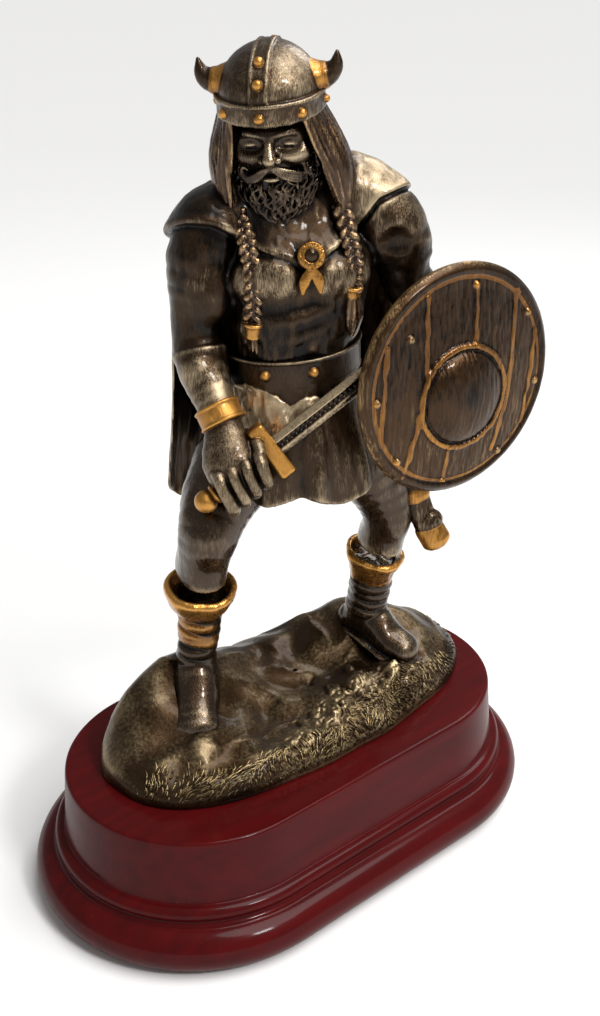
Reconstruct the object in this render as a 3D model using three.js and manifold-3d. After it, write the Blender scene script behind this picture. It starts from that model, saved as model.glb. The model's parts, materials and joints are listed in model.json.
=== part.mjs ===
// Viking figurine: one casting of a bearded warrior astride rocky ground, on a lacquered wooden plinth.
// Millimetres, +Z up. The origin is the middle of the plinth's underside, and its long front faces -Y.
// On the figure, "right" and "left" are his own: his right hand holds the sword, his left the shield.
import * as THREE from 'three';
import { mergeVertices } from 'three/addons/utils/BufferGeometryUtils.js';
import Module from 'manifold-3d';

const wasm = await Module();
wasm.setup();

// Driving dimensions
const PLINTH = { length: 160, width: 95.4, height: 36.1, topInset: 10.6, foot: 6.4, bead: 2.2, segments: 52 };
const GLUE_GAP = 0.3;
const CASTING_TRIANGLES = 8400;
const GROUND = {
  centre: [3.5, 1], half: [62, 28.5], squareness: 2.5, rim: 8.2, segments: 44,
  rings: [0.22, 0.42, 0.6, 0.76, 0.88, 0.96, 1],
  // x, y, height and the two spreads of each rise of the rock
  rises: [
    [-28, 14, 15, 19, 14], [33, 9, 11.5, 19, 14], [4, 17, 4.5, 22, 13], [-46, 13, 7, 12, 14], [-34, -6, 3, 8, 7],
    [16, -13, 2.6, 5, 4], [6, -17, 2.2, 4, 4], [29, -17, 3.2, 8, 6], [-12, -12, -2, 9, 7], [50, -2, 3, 9, 10],
  ],
};
const TORSO = { yaw: -27, middle: [4, 1.5] };
const HEAD = { at: [-2.2, 1.2, 204.8], yaw: -46, pitch: 12, roll: 3 };
const HELMET = { across: 12.8, along: 13.8, band: 5, crown: 15.6, ridge: 2.1, stud: 1.15 };
const HORN = { out: 11.2, up: 7.2, ring: 3.3, root: 2.6 };
const SHIELD = {
  at: [33.5, -30, 138.4], radius: 30.6, yaw: -8, thickness: 3, chamfer: 1.3, boss: 12, bossRing: 14.3,
  middle: [0.4, -4],
};
const SWORD = {
  pommel: [-29.4, -4.3, 114.4], tip: [19.5, -25, 150.5], guardAt: 20.5, guardHalf: 7.2,
  bladeHalf: 2.6, bladeThick: 1.1,
};
const BELT = { at: [3.4, 1.6, 145.0], across: 18.2, deep: 14.2, height: 8, tip: 8, roll: 4 };
const BRACELET = { at: [-21.7, -0.3, 135.2], along: [-0.05, 0.59, 0.81], radius: 5.7, height: 4.4 };

const rad = THREE.MathUtils.degToRad;
const vec = (p) => new THREE.Vector3(...p);

// Geometry helpers

// The frame of a thing that faces -Y before it is turned, tipped forward and rolled to his right.
function frame(at, yaw = 0, pitch = 0, roll = 0) {
  const turn = new THREE.Matrix4().makeRotationZ(rad(yaw));
  turn.multiply(new THREE.Matrix4().makeRotationX(rad(pitch)));
  turn.multiply(new THREE.Matrix4().makeRotationY(rad(-roll)));
  return turn.setPosition(...at);
}

// A point in the torso's frame: millimetres to his left, towards his back, and the height.
function local(left, back, z) {
  const spot = new THREE.Vector3(left, back, 0).applyMatrix4(frame([...TORSO.middle, 0], TORSO.yaw));
  return [spot.x, spot.y, z];
}
const LEFTWARD = [Math.cos(rad(TORSO.yaw)), Math.sin(rad(TORSO.yaw)), 0];

// A swept body with domed ends. Each station is [x, y, z, half width, half depth]. The width lies along
// `across`, and `shape(angle, t)` scales the section, so folds and locks are a formula.
function loft(stations, { sides = 10, rows = 6, domes = 2, across = LEFTWARD, dome = 1, shape } = {}) {
  const spine = new THREE.CatmullRomCurve3(stations.map((s) => vec(s.slice(0, 3))), false, 'catmullrom', 0.5);
  const size = new THREE.SplineCurve(stations.map((s) => new THREE.Vector2(s[3], s[4])));
  const capsule = new THREE.CapsuleGeometry(1, 1, domes, sides, rows);
  const place = capsule.getAttribute('position');
  for (let i = 0; i < place.count; i += 1) {
    const h = place.getY(i);
    const t = THREE.MathUtils.clamp(h + 0.5, 0, 1);
    const over = h > 0.5 ? h - 0.5 : Math.min(h + 0.5, 0);
    const along = spine.getTangent(t);
    const wide = vec(across).addScaledVector(along, -along.dot(vec(across))).normalize();
    const deep = new THREE.Vector3().crossVectors(along, wide);
    const half = size.getPoint(t);
    const swell = shape ? shape(Math.atan2(place.getZ(i), place.getX(i)), t) : 1;
    const point = spine.getPoint(t);
    point.addScaledVector(wide, place.getX(i) * half.x * swell);
    point.addScaledVector(deep, -place.getZ(i) * half.y * swell);
    point.addScaledVector(along, over * Math.min(half.x, half.y) * dome);
    place.setXYZ(i, point.x, point.y, point.z);
  }
  return capsule;
}

function blob(at, [rx, ry, rz], { sides = 10, rows = 6, turn } = {}) {
  const ball = new THREE.SphereGeometry(1, sides, rows).rotateX(Math.PI / 2).scale(rx, ry, rz);
  if (turn) ball.applyMatrix4(turn);
  return ball.translate(...at);
}

// A round-headed stud, centred on the surface that carries it.
function stud(radius, matrix) {
  return new THREE.SphereGeometry(radius, 6, 4).applyMatrix4(matrix);
}

// A profile of [radius, height] pairs turned about the local Z axis.
function turned(profile, segments, matrix = new THREE.Matrix4()) {
  const ring = new THREE.LatheGeometry(profile.map((p) => new THREE.Vector2(...p)), segments);
  return ring.rotateX(Math.PI / 2).applyMatrix4(matrix);
}

// Turns the local Z axis to a direction, at a point.
function aim(at, direction) {
  const turn = new THREE.Quaternion().setFromUnitVectors(new THREE.Vector3(0, 0, 1), vec(direction).normalize());
  return new THREE.Matrix4().makeRotationFromQuaternion(turn).setPosition(...at);
}

function solid(geometry) {
  const bare = geometry.clone();
  bare.deleteAttribute('normal');
  bare.deleteAttribute('uv');
  const shared = mergeVertices(bare, 1e-4);
  const index = shared.index.array;
  const faces = [];
  for (let i = 0; i < index.length; i += 3) {
    const [a, b, c] = [index[i], index[i + 1], index[i + 2]];
    if (a !== b && b !== c && c !== a) faces.push(a, b, c);
  }
  const mesh = new wasm.Mesh({
    numProp: 3,
    vertProperties: Float32Array.from(shared.getAttribute('position').array),
    triVerts: Uint32Array.from(faces),
  });
  return new wasm.Manifold(mesh);
}

function join(pieces) {
  return pieces.map(solid).reduce((whole, next) => whole.add(next));
}

// Thins a closed mesh to `target` triangles. Each pass merges the two ends of the edges whose merging moves
// the surface least, measured by the squared distance to the planes of the faces merged so far.
function thin(spots, faces, target) {
  const normalOf = (a, b, c) => b.clone().sub(a).cross(c.clone().sub(a));
  const quadrics = spots.map(() => new Array(10).fill(0));
  for (const face of faces) {
    const normal = normalOf(...face.map((v) => spots[v]));
    const area = normal.length();
    const [x, y, z, w] = [...normal.divideScalar(area || 1).toArray(), -normal.dot(spots[face[0]])];
    const plane = [x * x, x * y, x * z, x * w, y * y, y * z, y * w, z * z, z * w, w * w];
    for (const v of face) plane.forEach((value, k) => { quadrics[v][k] += area * value; });
  }
  const error = (a, b, { x, y, z }) => {
    const q = quadrics[a].map((value, k) => value + quadrics[b][k]);
    return q[0] * x * x + q[4] * y * y + q[7] * z * z + q[9]
      + 2 * (q[1] * x * y + q[2] * x * z + q[3] * x + q[5] * y * z + q[6] * y + q[8] * z);
  };
  let kept = faces;
  for (let pass = 0; pass < 60 && kept.length > target; pass += 1) {
    const around = spots.map(() => []);
    for (const face of kept) for (const v of face) around[v].push(face);
    const neighbours = (v) => new Set(around[v].flat().filter((other) => other !== v));
    const sides = kept.flatMap(([a, b, c]) => [[a, b], [b, c], [c, a]]).filter(([a, b]) => a < b);
    const edges = sides.map(([a, b]) => {
      const middle = spots[a].clone().lerp(spots[b], 0.5);
      const choices = [spots[a], spots[b], middle].map((p) => [error(a, b, p), p]);
      const [cost, place] = choices.sort((one, two) => one[0] - two[0])[0];
      return { a, b, place: place.clone(), cost: cost + 2e-4 * spots[a].distanceToSquared(spots[b]) };
    });
    edges.sort((one, two) => one.cost - two.cost);
    const busy = new Set();
    const mergedInto = new Map();
    const quota = Math.max(20, Math.min(edges.length * 0.06, (kept.length - target) / 2));
    for (const { a, b, place } of edges) {
      if (mergedInto.size >= quota) break;
      if (busy.has(a) || busy.has(b)) continue;
      const [ringA, ringB] = [neighbours(a), neighbours(b)];
      if ([...ringA].filter((v) => ringB.has(v)).length !== 2) continue;
      const moved = [...around[a], ...around[b]].filter((face) => !(face.includes(a) && face.includes(b)));
      const sound = moved.every((face) => {
        const before = normalOf(...face.map((v) => spots[v]));
        const corners = face.map((v) => (v === a || v === b ? place : spots[v]));
        const after = normalOf(...corners);
        const longest = Math.max(...corners.map((p, k) => p.distanceTo(corners[(k + 1) % 3])));
        return after.length() > 0.03 * longest && before.dot(after) > 0.35 * before.length() * after.length();
      });
      if (!sound) continue;
      spots[a].copy(place);
      quadrics[a] = quadrics[a].map((value, k) => value + quadrics[b][k]);
      mergedInto.set(b, a);
      for (const v of [a, b, ...ringA, ...ringB]) busy.add(v);
    }
    if (!mergedInto.size) break;
    kept = kept.map((face) => face.map((v) => mergedInto.get(v) ?? v));
    kept = kept.filter(([a, b, c]) => a !== b && b !== c && c !== a);
  }
  return kept;
}

// The faces of the largest shell. A join can seal a small gap between masses, which a casting fills.
function outerShell(spots, faces) {
  const label = spots.map((_, v) => v);
  const rootOf = (v) => {
    while (label[v] !== v) v = label[v] = label[label[v]];
    return v;
  };
  for (const [a, b, c] of faces) label[rootOf(b)] = label[rootOf(c)] = rootOf(a);
  const sizes = new Map();
  for (const face of faces) sizes.set(rootOf(face[0]), (sizes.get(rootOf(face[0])) ?? 0) + 1);
  const [largest] = [...sizes].sort((one, two) => two[1] - one[1])[0];
  return faces.filter((face) => rootOf(face[0]) === largest);
}

function toGeometry(body, target) {
  const mesh = body.getMesh();
  const inThrees = (list) => {
    const rows = { length: list.length / 3 };
    return Array.from(rows, (_, i) => [...list.slice(3 * i, 3 * i + 3)]);
  };
  const spots = inThrees(mesh.vertProperties).map(vec);
  const faces = outerShell(spots, inThrees(mesh.triVerts));
  const kept = thin(spots, faces, target);
  const geometry = new THREE.BufferGeometry().setFromPoints(kept.flat().map((v) => spots[v]));
  geometry.computeVertexNormals();
  return geometry;
}

// Plinth

// Two half turns of a profile, drawn apart along X into a stadium.
function stadium(profile, straight, segments) {
  const half = segments / 2;
  const body = new THREE.LatheGeometry(profile.map((p) => new THREE.Vector2(...p)), segments);
  const place = body.getAttribute('position');
  for (let i = 0; i < place.count; i += 1) {
    const step = Math.floor(i / profile.length) % segments;
    const side = step < half ? 1 : -1;
    const angle = ((step % half) / (half - 1)) * Math.PI - Math.PI / 2;
    const [radius, height] = profile[i % profile.length];
    place.setXYZ(i, side * (straight + radius * Math.cos(angle)), side * radius * Math.sin(angle), height);
  }
  return body;
}

function plinth() {
  const { length, width, height, topInset, foot, bead, segments } = PLINTH;
  const outer = width / 2;
  const top = outer - topInset;
  const profile = [[0, 0], [outer - 2.6, 0]];
  for (let a = -50; a <= 90; a += 35) {
    profile.push([outer - foot + foot * Math.cos(rad(a)), foot + foot * Math.sin(rad(a))]);
  }
  const ledge = 2 * foot + 0.4;
  for (const a of [-50, 0, 50]) {
    profile.push([top + 2.6 + bead * Math.cos(rad(a)), ledge + bead * (1 + Math.sin(rad(a)))]);
  }
  profile.push([top + 1.9, ledge + 2 * bead + 0.2], [top + 0.35, height - 0.9], [top - 0.5, height], [0, height]);
  return stadium(profile, length / 2 - outer, segments);
}

// Ground

function groundHeight(x, y) {
  let height = GROUND.rim;
  for (const [cx, cy, rise, sx, sy] of GROUND.rises) {
    height += rise * Math.exp(-(((x - cx) / sx) ** 2) - ((y - cy) / sy) ** 2);
  }
  const ripple = 0.5 * Math.sin(x * 0.55 + 1.3 * Math.sin(y * 0.4));
  return height + ripple + 0.45 * Math.sin(y * 0.7 + 0.8 * Math.sin(x * 0.3));
}

function groundEdge(angle) {
  const [a, b] = GROUND.half;
  const n = GROUND.squareness;
  const radius = (Math.abs(Math.cos(angle) / a) ** n + Math.abs(Math.sin(angle) / b) ** n) ** (-1 / n);
  return radius * (1 - 0.05 * Math.exp(-(((angle + 0.55) / 0.45) ** 2)) + 0.008 * Math.sin(9 * angle));
}

function ground() {
  const base = PLINTH.height + GLUE_GAP;
  const profile = [[0, 0], [1, 0], ...GROUND.rings.slice().reverse().map((r) => [r, 1]), [0, 1]];
  const body = turned(profile, GROUND.segments);
  const place = body.getAttribute('position');
  for (let i = 0; i < place.count; i += 1) {
    const [px, py] = [place.getX(i), place.getY(i)];
    const ring = Math.hypot(px, py);
    const angle = Math.atan2(py, px);
    const x = GROUND.centre[0] + ring * groundEdge(angle) * Math.cos(angle);
    const y = GROUND.centre[1] + ring * groundEdge(angle) * Math.sin(angle);
    const shoulder = Math.sqrt(Math.max(0, 1 - ring ** 7)) * 0.86 + 0.14;
    place.setXYZ(i, x, y, base + (place.getZ(i) > 0.5 ? groundHeight(x, y) * shoulder : 0));
  }
  return body;
}

// Legs and boots

function legs() {
  const right = loft([
    [-5, 7.5, 122, 12.5, 12], [-11, 6.5, 116, 12, 11.5], [-18.5, 4.8, 109.5, 10.2, 10],
    [-24.3, 2.6, 102, 8.2, 8.4], [-25.4, 4, 93, 7, 7.3], [-25.4, 5.6, 82, 6.4, 6.8],
    [-25.6, 6.8, 70, 5.4, 5.8], [-26.4, 7.6, 62, 5, 5.4],
  ], { sides: 12, rows: 9 });
  const left = loft([
    [12, 0, 124, 12, 12], [19.5, -4, 116, 11.5, 11.5], [25.2, -8.4, 106, 9, 9.2], [28, -10, 96, 6.6, 7],
    [28.5, -8.4, 86, 6, 6.4], [28.4, -5, 75, 5.6, 6.2], [28.6, -2, 66, 5.4, 5.6], [30, -1, 60, 5.2, 5.6],
  ], { sides: 12, rows: 9 });
  return [right, left];
}

function boots() {
  const right = loft([
    [-23.5, 11.5, 55.5, 5, 4.5], [-26.8, 7.2, 57, 5.6, 6.4], [-31, 2.2, 52, 5.7, 5.2], [-34.6, -2.4, 48, 5, 3.8],
  ], { rows: 4, across: [0.77, -0.63, 0] });
  const left = loft([
    [29, 4, 55.5, 4.8, 4.4], [30.2, -2, 57, 5.6, 6], [32, -8.5, 52.5, 5.7, 5], [33.8, -13.4, 50, 5.4, 4.3],
  ], { rows: 4, across: [0.97, 0.24, 0] });
  return [right, left];
}

// A fur cuff: a funnel, open above, with an uneven brim.
function cuff(at, tilt, [rim, foot], height) {
  const wall = 1.8;
  const profile = [[0, -height * 0.42], [0, -height], [foot, -height], [foot + 0.5, -height * 0.72],
    [rim - 0.5, -height * 0.38], [rim, -height * 0.12], [rim - 0.4, 0], [rim - wall, 0], [foot, -height * 0.42],
    [0, -height * 0.42]];
  const funnel = turned(profile, 16);
  const place = funnel.getAttribute('position');
  for (let i = 0; i < place.count; i += 1) {
    const angle = Math.atan2(place.getY(i), place.getX(i));
    const lift = place.getZ(i) > -height * 0.2 ? 0.8 * Math.sin(3 * angle + 1) : 0;
    const swell = 1 + 0.03 * Math.sin(5 * angle + place.getZ(i));
    place.setXYZ(i, place.getX(i) * swell, place.getY(i) * swell, place.getZ(i) + lift);
  }
  return funnel.applyMatrix4(aim(at, tilt));
}

function cuffs() {
  return [
    cuff([-26.2, 5, 84], [-0.18, -0.2, 1], [9.8, 5.6], 17),
    cuff([28, -6.4, 82.5], [0.2, -0.14, 1], [8.9, 6.4], 13.5),
  ];
}

function wraps() {
  const bands = [
    [[-26.1, 7.2, 64], [-0.1, -0.2, 1], 6], [[28.5, -3.4, 68.6], [0.05, -0.25, 1], 6.7],
    [[29.2, -2, 64.6], [0.1, -0.3, 1], 6.4],
  ];
  return bands.map(([at, tilt, radius]) => {
    const profile = [[0, -2], [radius - 1, -2], [radius, 0], [radius - 1, 2], [0, 2]];
    return turned(profile, 10, aim(at, tilt));
  });
}

// Torso, skirt and belt

function torso() {
  const trunk = loft([
    [5, 3, 120, 16, 12.5], [4.2, 2.4, 130, 17, 13.2], [3.4, 1.6, 141, 17, 12.8], [3.6, 1.2, 151, 17.8, 13.4],
    [4.2, 0.8, 162, 20, 14.4], [4.6, 1.2, 171, 20.5, 13.6], [4.2, 2.4, 179, 14, 10.8], [2.4, 2.2, 186, 7.6, 7.6],
  ], { sides: 16, rows: 9, shape: (a, t) => 1 - 0.07 * Math.cos(4 * a) * (t > 0.55 ? 1 : 0.3) });
  const pecs = [-1, 1].map((side) => blob(local(side * 8.4, -10, 166.5), [9.4, 5.2, 7.4], {
    rows: 6, turn: frame([0, 0, 0], TORSO.yaw + side * 16, 12),
  }));
  const breastbone = blob(local(0, -9, 168), [8, 5.4, 10]);
  return [trunk, ...pecs, breastbone];
}

function skirt() {
  const folds = (angle, t) => 1 + (1 - t) * 0.05 * Math.sin(8 * angle + 1.5 * Math.sin(2 * angle));
  const cloth = loft([
    [...local(0.5, 0, 111.2), 24, 18.5], [...local(0.4, 0, 116), 23.4, 18.1],
    [...local(0.2, 0, 127), 20.4, 16.2], [...local(0, 0, 139), 17.6, 14], [...local(0, 0, 143), 16.6, 12.8],
  ], { sides: 32, rows: 4, domes: 1, dome: 0.12, shape: folds });
  const place = cloth.getAttribute('position');
  for (let i = 0; i < place.count; i += 1) {
    const low = THREE.MathUtils.clamp((120 - place.getZ(i)) / 12, 0, 1);
    const wave = 1.4 * Math.sin(0.28 * (place.getX(i) + 12));
    place.setZ(i, place.getZ(i) + low * wave * (place.getY(i) < 0 ? 1 : -1));
  }
  return cloth;
}

function belt() {
  const { at, across, deep, height, tip, roll } = BELT;
  const h = height / 2;
  const onBelt = frame(at, TORSO.yaw, tip, roll);
  const strap = turned([[0, -h], [0.97, -h], [1, 0.7 - h], [1, h - 0.7], [0.97, h], [0, h]], 24);
  strap.scale(across, deep, 1).applyMatrix4(onBelt);
  const studs = [-50, -22, 8, 40].map((a) => stud(1.4, new THREE.Matrix4()
    .makeTranslation(across * Math.sin(rad(a)), -deep * Math.cos(rad(a)), 0).premultiply(onBelt)));
  return [strap, ...studs];
}

// Arms and hands

function arms() {
  const right = loft([
    [-14.8, 10.4, 177, 7.8, 8.4], [-16.6, 11.6, 170.5, 8.9, 9], [-18.3, 12.2, 160, 6.8, 7.2],
    [-19.2, 11.6, 149.5, 6.3, 6.8], [-20.3, 7.2, 143, 6.2, 6.4], [-21.4, 1.8, 137.5, 5, 5],
    [-21.8, -2, 133, 4.4, 4],
  ], { sides: 12, rows: 9 });
  const left = loft([
    [24.8, -7.4, 181, 8.2, 8.4], [27.6, -9, 174, 9.2, 9.2], [31, -10.8, 164.5, 7, 7.4],
    [35, -12.6, 155.5, 6.2, 6.4], [36, -17.5, 149, 5.8, 5.8], [34.6, -24.5, 143.5, 4.6, 4.6],
  ], { sides: 12, rows: 7 });
  const fist = blob([34, -26, 141], [5.5, 3.5, 5.5], { sides: 8, rows: 5 });
  const { at, along, radius, height } = BRACELET;
  const h = height / 2;
  const bracelet = turned([[0, -h], [radius, -h], [radius - 0.4, 0], [radius, h], [0, h]], 14, aim(at, along));
  const badge = blob([-24.2, -4.8, 138.2], [1.9, 1.1, 1.9], { sides: 8, rows: 4 });
  return [right, left, fist, bracelet, badge];
}

// His right fist: the back of the hand and four fingers bent round the grip.
function rightFist() {
  const grip = vec(SWORD.tip).sub(vec(SWORD.pommel)).normalize();
  const out = new THREE.Vector3(-0.5, -0.78, 0.38).normalize();
  const down = new THREE.Vector3().crossVectors(grip, out).normalize();
  const centre = vec(SWORD.pommel).addScaledVector(grip, 12.5);
  const across = grip.toArray();
  const spot = (g, o, d) => {
    const point = centre.clone().addScaledVector(grip, g).addScaledVector(out, o);
    return point.addScaledVector(down, d).toArray();
  };
  const hand = loft([
    [-22, -2.6, 132.6, 4.2, 4.2], [...spot(0, 1.6, -4.2), 5.8, 5.2], [...spot(0.4, 1.2, 0.5), 6.6, 5],
  ], { sides: 8, rows: 3, across });
  const fingers = [-5.1, -1.7, 1.7, 5.1].map((g) => loft([[...spot(g, 4.4, -3.6), 1.7, 1.8],
    [...spot(g, 5.3, 0.5), 1.8, 1.9], [...spot(g, 3.4, 4.4), 1.7, 1.8], [...spot(g, 0, 5), 1.6, 1.7]],
    { sides: 6, rows: 4, domes: 1, across }));
  return [hand, ...fingers];
}

// Sword and scabbard

function sword() {
  const start = vec(SWORD.pommel);
  const span = vec(SWORD.tip).sub(start);
  const along = span.clone().normalize();
  const flat = new THREE.Vector3(0.45, 0.55, 0).cross(along).normalize();
  const at = (d) => start.clone().addScaledVector(along, d).toArray();
  const [wide, thick] = [SWORD.bladeHalf, SWORD.bladeThick];
  const corners = [[-wide, 0], [0, -thick], [wide, 0], [0, thick]];
  const section = new THREE.Shape(corners.map((p) => new THREE.Vector2(...p)));
  const blade = new THREE.ExtrudeGeometry(section, { depth: span.length() - SWORD.guardAt, bevelEnabled: false });
  const basis = new THREE.Matrix4().makeBasis(flat, new THREE.Vector3().crossVectors(along, flat), along);
  blade.applyMatrix4(basis.setPosition(...at(SWORD.guardAt)));
  const ends = [-1, 1].map((s) => vec(at(SWORD.guardAt)).addScaledVector(flat, s * SWORD.guardHalf).toArray());
  const guard = loft([[...ends[0], 1.9, 2.3], [...at(SWORD.guardAt), 2.2, 2], [...ends[1], 1.9, 2.3]],
    { sides: 8, rows: 2, domes: 1, across: along.toArray() });
  const grip = loft([[...at(1), 2, 2], [...at(SWORD.guardAt), 2, 2]], { sides: 6, rows: 1, domes: 1 });
  return [blob(SWORD.pommel, [3.1, 3.1, 3.1]), grip, guard, blade];
}

function scabbard() {
  const across = [0.8, -0.6, 0];
  const body = loft([[29, -11, 126, 4.2, 2.6], [33.4, -16.5, 100, 3.9, 2.4], [36, -19.6, 92.5, 3.6, 2.3]],
    { sides: 8, rows: 3, domes: 1, across });
  const band = loft([[33.1, -16.1, 102, 4.5, 3], [33.8, -16.9, 98.6, 4.5, 3]],
    { sides: 8, rows: 1, domes: 1, dome: 0.2, across });
  const chape = loft([[35.8, -19.3, 93, 4.3, 2.9], [37.2, -21, 88.6, 4.4, 3]], { sides: 8, rows: 1, across });
  return [body, band, chape];
}

// Shield

// A place on the shield's face: to its left, up, and out from the face.
function onShield(left, up, out) {
  return new THREE.Matrix4().makeTranslation(left, -out, up).premultiply(frame(SHIELD.at, SHIELD.yaw));
}

function shield() {
  const { radius, thickness, chamfer, boss, bossRing, middle } = SHIELD;
  const facing = (left, up) => new THREE.Matrix4().makeRotationX(Math.PI / 2).premultiply(onShield(left, up, 0));
  const disc = [[0, -thickness], [radius - 0.8, -thickness], [radius, -chamfer], [radius - 1.9, 0.1],
    [radius - 3.1, -0.55], [22, -0.1], [bossRing, 1], [0, 1]];
  const dome = [[0, -1], [bossRing, -1], [bossRing, 1.3], [bossRing - 0.6, 1.9], [bossRing - 1.3, 1.7],
    [boss, 1.1], [boss * 0.88, 2.6], [boss * 0.55, 4.2], [0, 4.8]];
  const pieces = [turned(disc, 38, facing(0, 0)), turned(dome, 26, facing(...middle))];
  // Battens over the seams between planks, from one end to the other.
  const battens = [
    [[-11, 23.2], [-12, 8]], [[-13.6, -10], [-17.2, -23]], [[4.4, 24.5], [3.9, 9]], [[17.6, 21.1], [15.6, -6]],
    [[15.6, -6], [11.8, -21]], [[-23, 12.3], [-24.2, -12.7]], [[25.5, 9.7], [22.4, -15.2]], [[-3.5, -17], [-4, -26]],
  ];
  const rise = (left, up) => {
    const reach = Math.hypot(left - middle[0], up - middle[1]);
    return 1.05 - 1.5 * THREE.MathUtils.clamp((reach - bossRing) / 12.5, 0, 1);
  };
  for (const [[x, z], [u, w]] of battens) {
    const stations = [0, 0.5, 1].map((t) => {
      const [left, up] = [x + (u - x) * t, z + (w - z) * t];
      return [left, -rise(left, up), up, 0.6, 0.45];
    });
    pieces.push(loft(stations, { sides: 6, rows: 2, domes: 1, across: [1, 0, 0] })
      .applyMatrix4(onShield(0, 0, 0)));
  }
  const rivets = [[4, 24.6], [-16.4, 13.7], [-25.9, -1.3], [-19.4, -18.3], [-4.5, -27], [14.5, -22.2],
    [26.3, -4.5], [22, 14.9]];
  for (const [left, up] of rivets) pieces.push(stud(1.15, onShield(left, up, -0.3)));
  return pieces;
}

// Cape and mantle

function cape() {
  const cloth = new THREE.BoxGeometry(2, 1, 1, 26, 8, 1);
  const place = cloth.getAttribute('position');
  const spread = 1.25;
  for (let i = 0; i < place.count; i += 1) {
    const angle = place.getX(i) * spread;
    const t = 0.5 - place.getY(i);
    const inside = place.getZ(i) > 0 ? 2.6 : 0;
    const overArm = place.getX(i) > 0 ? 3.4 * Math.sin(Math.PI * Math.min(1, 1.3 * t)) : 0;
    const half = 30.2 + overArm - 4.5 * (1 - t) ** 6 - Math.sin(Math.PI * t) ** 2 + 3 * t ** 3;
    const edge = 6.5 + 10 * t;
    const middle = 9.5 + 16 * t ** 0.6;
    const bow = (Math.cos(angle) - Math.cos(spread)) / (1 - Math.cos(spread));
    const fold = (0.3 + 1.6 * t) * Math.cos(8.5 * angle + 1.2 * t + 0.6);
    const left = (half - inside * 0.5) * (Math.sin(angle) / Math.sin(spread));
    const top = 186 - 11 * Math.sin(angle) ** 2 + 2.5 * Math.sin(angle);
    const hem = 98 + 2.2 * Math.sin(3 * angle) + 1.5 * Math.sin(angle) ** 2;
    const z = top + (hem - top) * t;
    place.setXYZ(i, ...local(left, edge + (middle - edge) * bow + fold - inside, z));
  }
  return cloth;
}

// The shoulder part of the cape, cut along the edges that run up from the brooch over both shoulders.
function mantle() {
  const yoke = loft([
    [...local(-22.5, 2.6, 174.5), 9.2, 9.4], [...local(-16, 3, 179.4), 9.4, 9.6],
    [...local(0, 2.5, 182), 10.5, 10.5], [...local(15, 2.5, 183.6), 9.8, 9.6],
    [...local(24.6, 2, 179.6), 9.2, 9.6],
  ], { sides: 14, rows: 8, domes: 3, across: [0, 0, 1], dome: 0.66 });
  const bust = loft([
    [...local(0, 0, 162), 21, 15.2], [...local(0, 0, 171), 21.2, 14.8], [...local(0, 1, 179), 15, 11.8],
  ], { sides: 16, rows: 4, shape: (a) => 1 - 0.05 * Math.cos(4 * a) });
  const edge = [[-40, 181], [-22, 175.5], [-16, 172.6], [-10, 167.5], [1.5, 162], [14, 173], [20, 180], [40, 188],
    [40, 215], [-40, 215]];
  const outline = new THREE.Shape(edge.map((p) => new THREE.Vector2(...p)));
  const block = new THREE.ExtrudeGeometry(outline, { depth: 60, bevelEnabled: false });
  const slope = new THREE.Matrix4().makeShear(0, 0, 0, -0.5, 0, 0);
  block.rotateX(Math.PI / 2).translate(0, 30, 0).applyMatrix4(slope);
  block.applyMatrix4(frame([...TORSO.middle, 0], TORSO.yaw));
  return join([yoke, bust]).intersect(solid(block));
}

function brooch() {
  const out = [Math.sin(rad(TORSO.yaw - 4)), -Math.cos(rad(TORSO.yaw - 4)), 0.25];
  const ring = turned([[0, -1.5], [3.1, -1.5], [3.5, 0.2], [2.8, 1.1], [1.9, 0.7], [0, 1.7]], 12,
    aim(local(1, -15.6, 173.2), out));
  const tails = [-1, 1].map((side) => loft([[...local(1, -15.9, 170.4), 0.9, 0.7],
    [...local(1 + side * 1.7, -16, 167.2), 1.3, 0.7], [...local(1 + side * 2.2, -15.9, 164.6), 0.6, 0.5]],
    { sides: 5, rows: 2, domes: 1 }));
  return [ring, ...tails];
}

// Head, helmet, hair and beard

const onHead = () => frame(HEAD.at, HEAD.yaw, HEAD.pitch, HEAD.roll);

function helmet() {
  const { across, along, band, crown, ridge } = HELMET;
  const dome = crown - band;
  const profile = [[0, -1], [0.92, -1], [1, 0], [1, band - 0.4], [0.94, band]];
  for (const a of [18, 36, 54, 72]) {
    profile.push([0.925 * Math.cos(rad(a)) ** 0.85, band + dome * Math.sin(rad(a))]);
  }
  profile.push([0, crown]);
  const shell = turned(profile, 24);
  shell.scale(across, along, 1).applyMatrix4(onHead());
  const [archAlong, archUp] = [along * 0.95, dome + 1.3];
  const arch = new THREE.Shape().absellipse(0, band - 1, archAlong, archUp, 0, Math.PI, false);
  const strap = new THREE.ExtrudeGeometry(arch, { depth: 2 * ridge, bevelEnabled: false, curveSegments: 12 });
  strap.translate(0, 0, -ridge).rotateY(Math.PI / 2).rotateX(Math.PI / 2).applyMatrix4(onHead());
  const studAt = (left, back, up) => stud(HELMET.stud,
    new THREE.Matrix4().makeTranslation(left, back, up).premultiply(onHead()));
  const studs = [0, 45, 90, 135, 180, 225, 270, 315].map((a) => studAt(across * Math.sin(rad(a)),
    -along * Math.cos(rad(a)), band * 0.5));
  for (const a of [35, 65, 115, 145]) {
    studs.push(studAt(0, -archAlong * Math.cos(rad(a)), band - 1 + archUp * Math.sin(rad(a))));
  }
  return [shell, strap, ...studs];
}

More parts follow.
